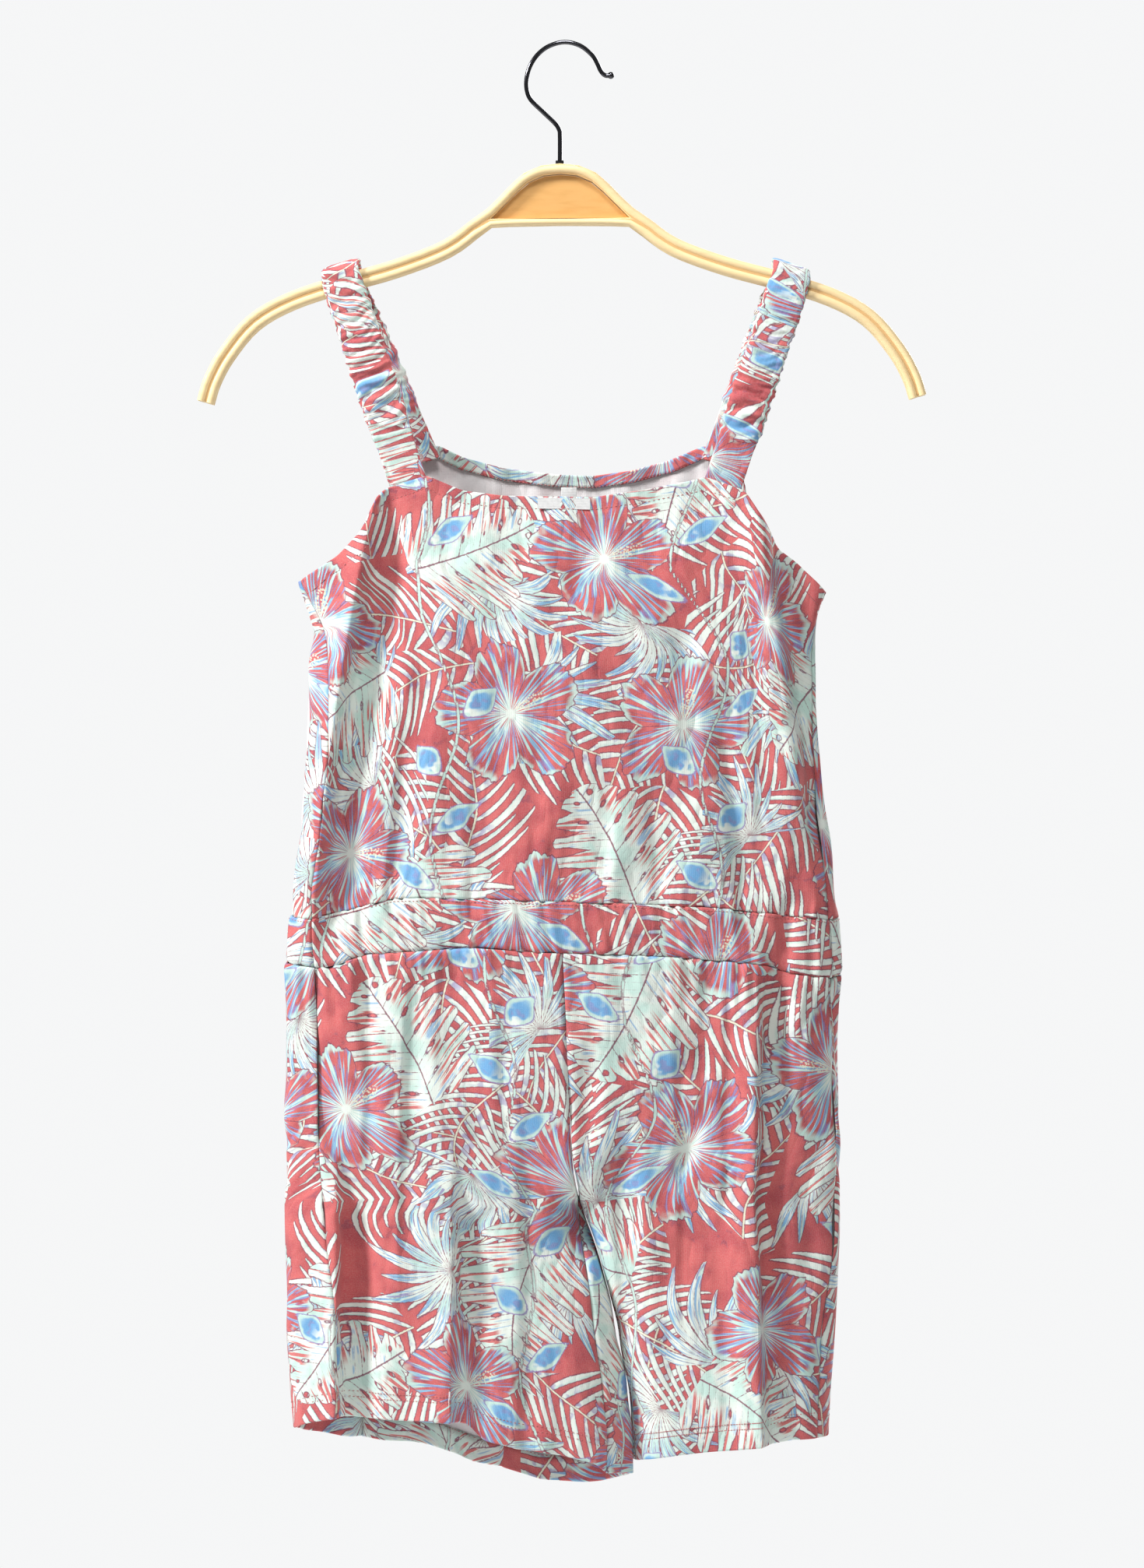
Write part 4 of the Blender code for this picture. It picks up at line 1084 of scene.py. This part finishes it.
def leg_top(side, face, across):
    """The height of the waist seam over a column, from where it starts on the waist ring."""
    at_waist = [float(value) for value in trunk(np.array(WAIST_Z))]
    seam_x = at_waist[4] if side == "left" else at_waist[5]
    start, end = (front_angle(*at_waist[:2], x) for x in (seam_x, INNER_LEG[0][1]))
    turned = ring(*at_waist[:4], mix(start, end, across))[0]
    waist_x = (mix(seam_x, INNER_LEG[0][1], across) + turned) / 2.0
    round_back = across / 2.0 if side == "right" else 1.0 - across / 2.0
    return waist_line(face, waist_x, round_back, WAIST_FOOT, BACK_WAIST_FOOT)


def leg_point(side, face, across, z):
    left, right, front, back, seam_left, seam_right = trunk(z)
    seam = seam_left if side == "left" else seam_right
    inseam, meeting = read(INNER_LEG, z, 1), read(INNER_LEG, z, 2)
    below = smooth((CROTCH_Z - z) / INSEAM_SETTLES)
    ends = (left, meeting) if side == "left" else (meeting + LEG_CLEARANCE * below, right)
    half_turn = -pi if side == "left" else pi
    if side == "left":
        inner_turn = front_angle(*ends, inseam) - (2.0 * pi if face == "back" else 0.0)
    else:
        inner_turn = -pi / 2.0 if face == "front" else 1.5 * pi
    if face == "front":
        start, end = front_angle(left, right, seam), front_angle(left, right, inseam)
        even = (mix(seam, inseam, across) + ring(left, right, 1.0, 1.0, mix(start, end, across))[0]) / 2.0
        body_turn, last_turn = front_angle(left, right, even), end
    else:
        body_turn = mix(front_angle(left, right, seam), half_turn, across)
        last_turn = half_turn
    leg_turn = mix(front_angle(*ends, seam), inner_turn, across)
    split = smooth((LEG_SPLIT[0] - z) / (LEG_SPLIT[0] - LEG_SPLIT[1]))

    def section(turn_of_body, turn_of_leg):
        whole = ring(left, right, front, back, turn_of_body)
        single = ring(*ends, front, back, turn_of_leg)
        return [mix(first, second, split) for first, second in zip(whole, single)]

    x, y = section(body_turn, leg_turn)
    last_x, last_y = section(last_turn, inner_turn)
    edge_x, edge_y = inner_edge(side, face, z)
    pull = smooth((across - PULLED_FROM) / (1.0 - PULLED_FROM))
    x, y = x + (edge_x - last_x) * pull, y + (edge_y - last_y) * pull
    return x, folded(x, y, z, front, back), z


def build_leg(side, face):
    hem = HEMS[side, face]

    def surface(across, share, drop):
        foot = read(hem, across, reach=0.01)
        z = mix(foot, leg_top(side, face, across), share) + drop
        return leg_point(side, face, across, z)

    def detail(u, place, across):
        x, z = place[..., 0], place[..., 2]
        foot = read(hem, across, reach=0.01)
        below = leg_top(side, face, across) - z
        seed = 20 + 3 * (side == "right") + 7 * (face == "back")
        seam = WAIST_SEAM[0] * np.exp(-((below / WAIST_SEAM[1]) ** 2))
        from_stitch = z - foot - LEG_HEM
        edge = gathers(u, np.abs(from_stitch), seed + 1, *HEM_PUCKERS)
        edge = edge - HEM_DIP * np.exp(-(((from_stitch + TWIN_ROWS / 2.0) / TWIN_GROOVE) ** 2))
        hung = drapes(u, below, seed + 5, *LEG_DRAPES) * smooth(below / LEG_DRAPE_START)
        hung = hung + drapes(u, z - foot, seed + 6, *HEM_DRAPES)
        return gathers(u, below, seed, *LEG_GATHERS) + rucks(x, z, seed) + edge - seam + hung

    panel = Panel(f"leg_{face}_{side}", surface, detail, (side == "right") == (face == "front"))
    made = panel.cut(turned_edge(LEG_HEM, ceil(LEG_HEIGHT / GRID)), -1.0, LEG_CUT_AT[side, face])
    rows = [(0.0, LEG_HEM, 0.0), (0.0, LEG_HEM - TWIN_ROWS, 0.0), (0.0, LEG_HEM - 0.5, 2.0 * EDGE_RADIUS)]
    sew(f"leg_{face}_{side}_stitching", panel, rows)


for side in ("left", "right"):
    for face in ("front", "back"):
        build_leg(side, face)

# The straps. Each is a tube of the same jersey gathered over elastic, so it is all uneven ruffles
# but for its flat ends, which are tucked inside the bodice's corners and sewn. It lies over the arm.
STRAPS = (  # name, x on the hanger, front end x and z, back end x and z, tilt in degrees
    ("strap_left", -119.8, -83.0, -238.9, -78.5, -221.3, 18.5),
    ("strap_right", 126.4, 89.1, -239.8, 90.2, -221.8, -17.6),
)
STRAP_HALF_WIDTH = 11.0
STRAP_HALF_THICKNESS = 1.5
STRAP_TUCK = (8.0, 2.2)  # how far an end runs on inside the bodice, and how far behind its cloth
ARM_CLEARANCE = 1.1
HANGER_HALF_THICKNESS = 5.5
SHOULDER = 0.75  # height of the turn over the arm as a share of its half width
TURN_POWER = 0.7  # below 1, the turn is squarer than an ellipse
RUFFLE = (9.4, 2.108, 1.5)  # pitch, height, and how far the edges are scalloped
RUFFLE_SUNK = 0.7  # how far the creases between lie below the strap's own face
GATHER_RATIO = 1.6  # length of the flat cloth to the length of the strap
SMOOTH_END = 19.0
STRAP_GRID = 0.85
TURN_STEPS = 25  # points of a strap's middle line over the arm


def strap_line(row):
    """The middle line of a strap, with points evenly spaced, and the direction of its width."""
    name, top_x, front_x, front_z, back_x, back_z, tilt = row
    tilt = radians(tilt)
    width_way = np.array((np.cos(tilt), 0.0, np.sin(tilt)))
    beside = HANGER_HALF_THICKNESS + ARM_CLEARANCE + STRAP_HALF_THICKNESS
    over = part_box(name)[1][2] / MM - 2.0 * STRAP_HALF_THICKNESS
    shoulder_z = over - beside * SHOULDER
    corners = []
    for face, x, z, way in (("front", front_x, front_z, -1.0), ("back", back_x, back_z, 1.0)):
        left, right, front, back = (float(value) for value in trunk(np.array(z))[:4])
        angle = front_angle(left, right, x)
        y = float(ring(left, right, front, back, angle if way < 0.0 else pi - angle)[1])
        end = np.array((x, y - way * STRAP_HALF_THICKNESS, z))
        shoulder = np.array((top_x, way * beside, shoulder_z))
        tucked = end + (end - shoulder) / np.linalg.norm(end - shoulder) * STRAP_TUCK[0]
        tucked[1] -= way * STRAP_TUCK[1]
        corners.append([tucked, end - np.array((0.0, way * 0.6 * STRAP_TUCK[1], 0.0)), shoulder])
    turn = []
    for angle in np.linspace(0.0, pi, TURN_STEPS)[1:-1]:
        y = -beside * np.sign(np.cos(angle)) * abs(np.cos(angle)) ** TURN_POWER
        turn.append(np.array((top_x, y, shoulder_z + (over - shoulder_z) * np.sin(angle) ** TURN_POWER)))
    line = np.array(corners[0] + turn + corners[1][::-1])
    run = np.concatenate(([0.0], np.cumsum(np.linalg.norm(np.diff(line, axis=0), axis=1))))
    steps = ceil(run[-1] / STRAP_GRID)
    spots = np.linspace(0.0, run[-1], steps + 1)
    return np.stack([np.interp(spots, run, line[:, axis]) for axis in range(3)], axis=-1), spots, width_way


def ruffles(t, w, length, seed):
    """Height of the ruffles at t along the strap and w across it, from 0 in the creases.

    A wide and a narrow row of ridges are each bent and stretched by slow waves, so that no two
    ruffles are alike, and both fade towards the flat ends and over the hanger's arm."""
    pitch = RUFFLE[0]
    warp = 0.3 * np.sin(t / 15.0 + seed) + 0.22 * np.sin(t / 7.3 + 2.0 * seed + 1.4 * w)
    phase = t / pitch + warp + 0.2 * w * np.sin(t / 19.0 + seed) + 0.12 * np.sin(3.0 * w + t / 5.0)
    wide = 1.0 - np.abs(2.0 * (phase % 1.0) - 1.0) ** 1.7
    phase = t / pitch * 2.2 + 1.7 * warp - 0.35 * w * np.cos(t / 13.0) + 0.3 * np.sin(4.0 * w + seed)
    narrow = 1.0 - np.abs(2.0 * (phase % 1.0) - 1.0) ** 1.5
    depth = 0.68 + 0.32 * np.sin(t / 10.0 + 1.3 * seed + w)
    from_end = np.minimum(t, length - t) - STRAP_TUCK[0]
    over_arm = np.exp(-(((t - length / 2.0) / 15.0) ** 2))
    fade = (0.12 + 0.88 * smooth((from_end - SMOOTH_END) / 10.0)) * (1.0 - 0.7 * over_arm)
    return (wide * depth + 0.4 * narrow) * fade


def build_strap(row, seed):
    line, t, width_way = strap_line(row)
    ahead = np.gradient(line, axis=0)
    outward = np.cross(width_way[None, :], ahead)
    outward /= np.linalg.norm(outward, axis=-1, keepdims=True)
    around = ceil(4.4 * STRAP_HALF_WIDTH / STRAP_GRID)
    angle = np.linspace(-pi / 2.0, 1.5 * pi, around + 1)[None, :]
    cos, sin = np.cos(angle), np.sin(angle)
    w = np.sign(cos) * np.abs(cos) ** 0.75
    t = t[:, None]
    raised = ruffles(t, w * np.sign(sin), t[-1, 0], seed)
    half = STRAP_HALF_WIDTH + RUFFLE[2] * (raised - 0.5)
    thick = (STRAP_HALF_THICKNESS - RUFFLE_SUNK + RUFFLE[1] * raised) * np.sign(sin) * np.abs(sin) ** 0.6
    place = line[:, None, :] + (w * half)[..., None] * width_way + thick[..., None] * outward[:, None, :]

    tube = bmesh.new()
    bmesh.ops.create_grid(tube, x_segments=around, y_segments=len(line) - 1, size=0.5)
    mesh = bpy.data.meshes.new(row[0] + "_cloth")
    tube.to_mesh(mesh)
    u = angle / (2.0 * pi) * 2.0 * (2.0 * STRAP_HALF_WIDTH + 2.0) + 0.0 * t
    v = t * GATHER_RATIO + 0.0 * angle
    spread_over(mesh, place, u + 40.0 * seed, v + 70.0 * seed)
    tube.clear()
    tube.from_mesh(mesh)
    bmesh.ops.remove_doubles(tube, verts=tube.verts, dist=0.02 * MM)
    bmesh.ops.recalc_face_normals(tube, faces=tube.faces)
    tube.to_mesh(mesh)
    tube.free()
    made = add_cloth(row[0], mesh)


for seed, row in enumerate(STRAPS, 1):
    build_strap(row, seed)

# The hanger. Its bowed arms and crown are one pale honey moulding, with a fine groove along the
# middle of each face between two rounded ridges, darkened with painted shade. A darker panel fills the
# crown.
HANGER_TILT = radians(0.45)
ARM_LINE = (  # half of the middle line of the arms, from the crown to the tip: x, z
    (44.0, -98.4),
    (62.0, -111.3),
    (90.0, -122.0),
    (118.0, -129.8),
    (147.0, -139.2),
    (168.0, -151.0),
    (183.0, -168.5),
    (191.0, -183.0),
    (194.6, -194.2),
)
CROWN_RIDGE = ((0.0, -68.4), (10.0, -69.4), (18.6, -73.2), (25.4, -79.0), (32.2, -86.0), (38.6, -92.0))
BAR_RIDGE = ((0.0, -97.4), (22.0, -97.5), (38.0, -98.2))
RIDGE_RADIUS = (2.25, 2.5, 1.5)  # along the arms, round the crown, along the bar
RIDGE_PROUD = 1.0
RIDGE_OUTWARD = 0.3  # the ridges round over the edges of the arms
GROOVE_SHADE_FADE = (0.5, 0.2)  # below the faces, where the painted shade in the groove starts and is whole
RIDGE_STEPS = 4  # points of a ridge between two given ones
ARM_PIVOT = Vector((0.0, -65.5))
TUBE_ROUNDNESS = 5


def curved(points, steps):
    """A smooth line through the points."""
    points = [Vector(point) for point in points]
    ends = [points[0] * 2.0 - points[1]] + points + [points[-1] * 2.0 - points[-2]]
    line = []
    for before, start, end, after in zip(ends, ends[1:], ends[2:], ends[3:]):
        for share in np.linspace(0.0, 1.0, steps + 1)[:-1]:
            bend = share * (1.0 - share)
            along = (end - before) / 2.0 * bend * (1.0 - share) - (after - start) / 2.0 * bend * share
            line.append(start.lerp(end, float(smooth(share))) + along)
    return line + [points[-1]]


def add_tubes(name, lines, finish):
    """Round bars along lines of points, each with its own radius there."""
    curve = bpy.data.curves.new(name, "CURVE")
    curve.dimensions = "3D"
    curve.bevel_depth = MM
    curve.bevel_resolution = TUBE_ROUNDNESS
    curve.use_fill_caps = True
    for line in lines:
        spline = curve.splines.new("POLY")
        spline.points.add(len(line) - 1)
        for spot, (place, radius) in zip(spline.points, line):
            spot.co = (*(place * MM), 1.0)
            spot.radius = radius
    curve.materials.append(finish)
    made = bpy.data.objects.new(name, curve)
    bpy.context.scene.collection.objects.link(made)
    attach(made, "root")
    return made


def build_ridges(finish):
    arm = curved(ARM_LINE, RIDGE_STEPS)
    lines = []
    for face in (-1.0, 1.0):
        for above, centre, middle_radius in ((1.0, CROWN_RIDGE, 1), (-1.0, BAR_RIDGE, 2)):
            half = [(point, RIDGE_RADIUS[middle_radius]) for point in curved(centre, RIDGE_STEPS)]
            for index, point in enumerate(arm[1:], 1):
                along = arm[min(index + 1, len(arm) - 1)] - arm[index - 1]
                across = Vector((-along.y, along.x)).normalized()
                outward = above * (RIDGE_RADIUS[0] + RIDGE_OUTWARD)
                half.append((point + across * outward, RIDGE_RADIUS[0]))
            mirrored = [(Vector((-point.x, point.y)), radius) for point, radius in reversed(half[1:])]
            line = []
            for point, radius in mirrored + half:
                hung = ARM_PIVOT + Matrix.Rotation(HANGER_TILT, 2) @ (point - ARM_PIVOT)
                y = face * (HANGER_HALF_THICKNESS + RIDGE_PROUD - radius)
                line.append((Vector((hung.x, y, hung.y)), radius))
            lines.append(line)
    add_tubes("hanger_ridges", lines, finish)


def moulding(name, colour, darker, roughness, groove=None):
    """Satin moulding with faint streaks, and painted shade darkening the groove of its front and back
    faces.
    """
    nodes = Nodes(name)
    place = nodes.place()
    stretched = nodes.add("ShaderNodeMapping", {"Vector": place, "Scale": (60.0, 60.0, 300.0)})
    streaks = nodes.noise(nodes.output(stretched, "Vector"), 1.0, 3.0)
    shade = nodes.over(colour, darker, nodes.ramp(streaks, 0.4, 0.75))
    if groove:
        # Painted shade: the groove between the ridges is coloured darker, as if in shadow.
        faces = [(HANGER_HALF_THICKNESS - below) * MM for below in GROOVE_SHADE_FADE]
        shade = nodes.over(shade, groove, nodes.ramp(abs(nodes.parts(place)[1]), *faces))
    nodes.settle(shade, Roughness=roughness, Coat_Weight=0.05)
    nodes.bump(nodes.noise(place, 700.0), 0.15, 0.0002)
    return nodes.material


HONEY, DARK_HONEY = (0.98, 0.76, 0.42), (0.94, 0.70, 0.37)
# The groove colour is painted shade for the recessed groove between the ridges.
GROOVE_PAINTED_SHADE = (0.76, 0.47, 0.20)
CARAMEL, DARK_CARAMEL = (0.80, 0.44, 0.15), (0.74, 0.39, 0.12)
honey = moulding("honey_moulding", HONEY, DARK_HONEY, 0.55)
grooved_with_painted_shade = moulding("honey_grooved_painted_shade", HONEY, DARK_HONEY, 0.55, GROOVE_PAINTED_SHADE)
crown_panel = moulding("crown_panel", CARAMEL, DARK_CARAMEL, 0.5)


def refinish(node, finish):
    """Gives a solid that is shown as it is its finish."""
    for slot in bpy.data.objects[node].material_slots:
        slot.material = finish


build_ridges(honey)
refinish("hanger_body", grooved_with_painted_shade)
refinish("hanger_panel", crown_panel)

# The hook. It is bent from dark plated wire that stands in the crown, with a small ball at its tip.
WIRE_RADIUS = 1.25
HOOK_LINE = (  # x, z of the wire's middle line
    (0.0, -66.0),
    (0.0, -50.0),
    (-0.5, -46.6),
    (-2.6, -43.3),
    (-9.4, -36.8),
    (-15.7, -30.6),
    (-18.0, -25.6),
    (-18.3, -19.3),
    (-16.5, -12.3),
    (-12.3, -5.7),
    (-5.9, -0.9),
    (2.6, 1.25),
    (11.0, -0.7),
    (17.7, -6.0),
    (20.5, -10.6),
    (22.3, -14.5),
    (24.8, -17.0),
    (27.8, -17.0),
)
HOOK_STEPS = 5  # points of the wire between two given ones
COLLAR = ((0.0, -65.6), (0.0, -63.6), 2.4)  # its ends and radius
BALL_RADIUS = 1.9

dark_plate = Nodes("dark_plated_wire")
dark_plate.settle((0.09, 0.09, 0.10), Metallic=1.0, Roughness=0.16)
dark_plate.bump(dark_plate.noise(dark_plate.place(), 250.0), 0.1, 0.0002)

wire = [(Vector((point.x, 0.0, point.y)), WIRE_RADIUS) for point in curved(HOOK_LINE, HOOK_STEPS)]
collar = [(Vector((x, 0.0, z)), COLLAR[2]) for x, z in COLLAR[:2]]
hook = add_tubes("hook_wire", [wire, collar], dark_plate.material)
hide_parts("hanger_hook")

ball_shape = bmesh.new()
tip = Vector((HOOK_LINE[-1][0], 0.0, HOOK_LINE[-1][1]))
at_tip = Matrix.Translation(tip * MM)
bmesh.ops.create_uvsphere(ball_shape, u_segments=24, v_segments=16, radius=BALL_RADIUS * MM, matrix=at_tip)
ball = add_piece("hook_ball", ball_shape, dark_plate.material)
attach(ball, "root")

# The neck label. A bare strip of white woven tape is sewn on over the front neckline.
TAPE, TAPE_SHADE = (0.80, 0.80, 0.79), (0.70, 0.70, 0.69)
TAPE_WEAVE = (0.5, 0.6)  # spacing of its upright and its level yarns

woven = Nodes("woven_tape")
tape_x, _, tape_z = woven.parts(woven.place())
warp = woven.math("SINE", tape_x * (2.0 * pi / (TAPE_WEAVE[0] * MM)))
weft = woven.math("SINE", tape_z * (2.0 * pi / (TAPE_WEAVE[1] * MM)))
mottle = woven.ramp(woven.noise(woven.place(), 400.0), 0.3, 0.8)
tone = woven.over(TAPE, TAPE_SHADE, mottle)
woven.settle(tone, Roughness=0.75)
woven.bump(warp + weft, 0.4, 0.0001)
refinish("neck_label", woven.material)

# The size tab. A small folded piece of the same bare tape is caught in the front neck seam and
# stands up a little behind the edge.
TAB = (0.7, 9.2, -253.0, -242.6)  # its sides, foot and top
NECK_Z = -250.0
TAB_BEHIND = 4.2  # the front of the cloth
TAB_THICKNESS = 0.7
FRONT_WIDTH = 260.0  # of the bodice's front along the cloth, to find the tab's place on it

tab_middle = ((TAB[0] + TAB[1]) / 2.0, (TAB[2] + TAB[3]) / 2.0)
tab_across = 0.5 + tab_middle[0] / FRONT_WIDTH
tab_y = float(body_point("front", np.array([tab_across]), np.array([NECK_Z]))[1][0]) + TAB_BEHIND
tab_size = Matrix.Diagonal((TAB[1] - TAB[0], TAB_THICKNESS, TAB[3] - TAB[2], 1.0))
tab_place = Matrix.Translation((tab_middle[0], tab_y, tab_middle[1]))
tab_shape = bmesh.new()
bmesh.ops.create_cube(tab_shape, size=1.0, matrix=Matrix.Scale(MM, 4) @ tab_place @ tab_size)
bmesh.ops.bevel(
    tab_shape,
    geom=tab_shape.edges[:],
    offset=TAB_THICKNESS * 0.4 * MM,
    segments=3,
    profile=0.5,
    affect="EDGES",
    material=-1,
)
tab = add_piece("size_tab", tab_shape, woven.material)
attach(tab, "root")

# The light and the camera. The romper hangs in front of a bright plain background, lit softly
# from the upper left, over a pale floor. The camera looks straight at its front from a distance.
# The lights' places and sizes are metres, and their power is watts.
FLOOR_Z = -1040.0
FLOOR_HALF_SIZE = 1300.0
LIT_POINT = Vector((0.0, 0.0, -0.4))  # the middle of the romper, in metres
BACKGROUND = (0.92, 0.925, 0.93)
ROOM_LIGHT = 0.21  # of the light that the bright background gives to the cloth
CAMERA_DISTANCE = 3200.0
SCALE = 0.4255  # millimetres to a pixel of the picture, at the hanger
PICTURE = (1470.0, 2014.0)
HOOK_AT = (719.5, 57.0)  # the origin in the picture

pale_floor = Nodes("pale_floor")
pale_floor.settle((0.8, 0.81, 0.82), Roughness=0.7)
floor_shape = bmesh.new()
at_floor = Matrix.Translation((0.0, 0.0, FLOOR_Z * MM))
bmesh.ops.create_grid(floor_shape, x_segments=1, y_segments=1, size=FLOOR_HALF_SIZE * MM, matrix=at_floor)
add_piece("floor", floor_shape, pale_floor.material)

world = bpy.data.worlds.new("soft_room")
bpy.context.scene.world = world
world.use_nodes = True
background = world.node_tree.nodes["Background"]
background.inputs["Color"].default_value = (*BACKGROUND, 1.0)
seen = world.node_tree.nodes.new("ShaderNodeLightPath")
level = world.node_tree.nodes.new("ShaderNodeMapRange")
level.inputs["To Min"].default_value = ROOM_LIGHT
world.node_tree.links.new(seen.outputs["Is Camera Ray"], level.inputs["Value"])
world.node_tree.links.new(level.outputs["Result"], background.inputs["Strength"])


def add_light(name, place, size, power):
    light = bpy.data.lights.new(name, "AREA")
    light.shape = "RECTANGLE"
    light.size, light.size_y = size
    light.energy = power
    made = bpy.data.objects.new(name, light)
    made.location = place
    made.rotation_euler = (LIT_POINT - Vector(place)).to_track_quat("-Z", "Y").to_euler()
    bpy.context.scene.collection.objects.link(made)


add_light("window", (-2.4, -1.1, 1.2), (0.5, 0.6), 108.0)
add_light("lamp_above", (0.0, -0.62, 0.75), (0.3, 0.3), 8.5)
add_light("back_window", (1.6, 2.2, 0.8), (1.4, 1.6), 75.0)

camera_data = bpy.data.cameras.new("camera")
camera = bpy.data.objects.new("camera", camera_data)
bpy.context.scene.collection.objects.link(camera)
camera.location = (
    (PICTURE[0] / 2.0 - HOOK_AT[0]) * SCALE * MM,
    -CAMERA_DISTANCE * MM,
    (HOOK_AT[1] - PICTURE[1] / 2.0) * SCALE * MM,
)
camera.rotation_euler = (pi / 2.0, 0.0, 0.0)
camera_data.sensor_fit = "AUTO"
camera_data.angle = 2.0 * atan(PICTURE[1] * SCALE / 2.0 / CAMERA_DISTANCE)
bpy.context.scene.camera = camera
bpy.context.scene.view_settings.view_transform = "Standard"
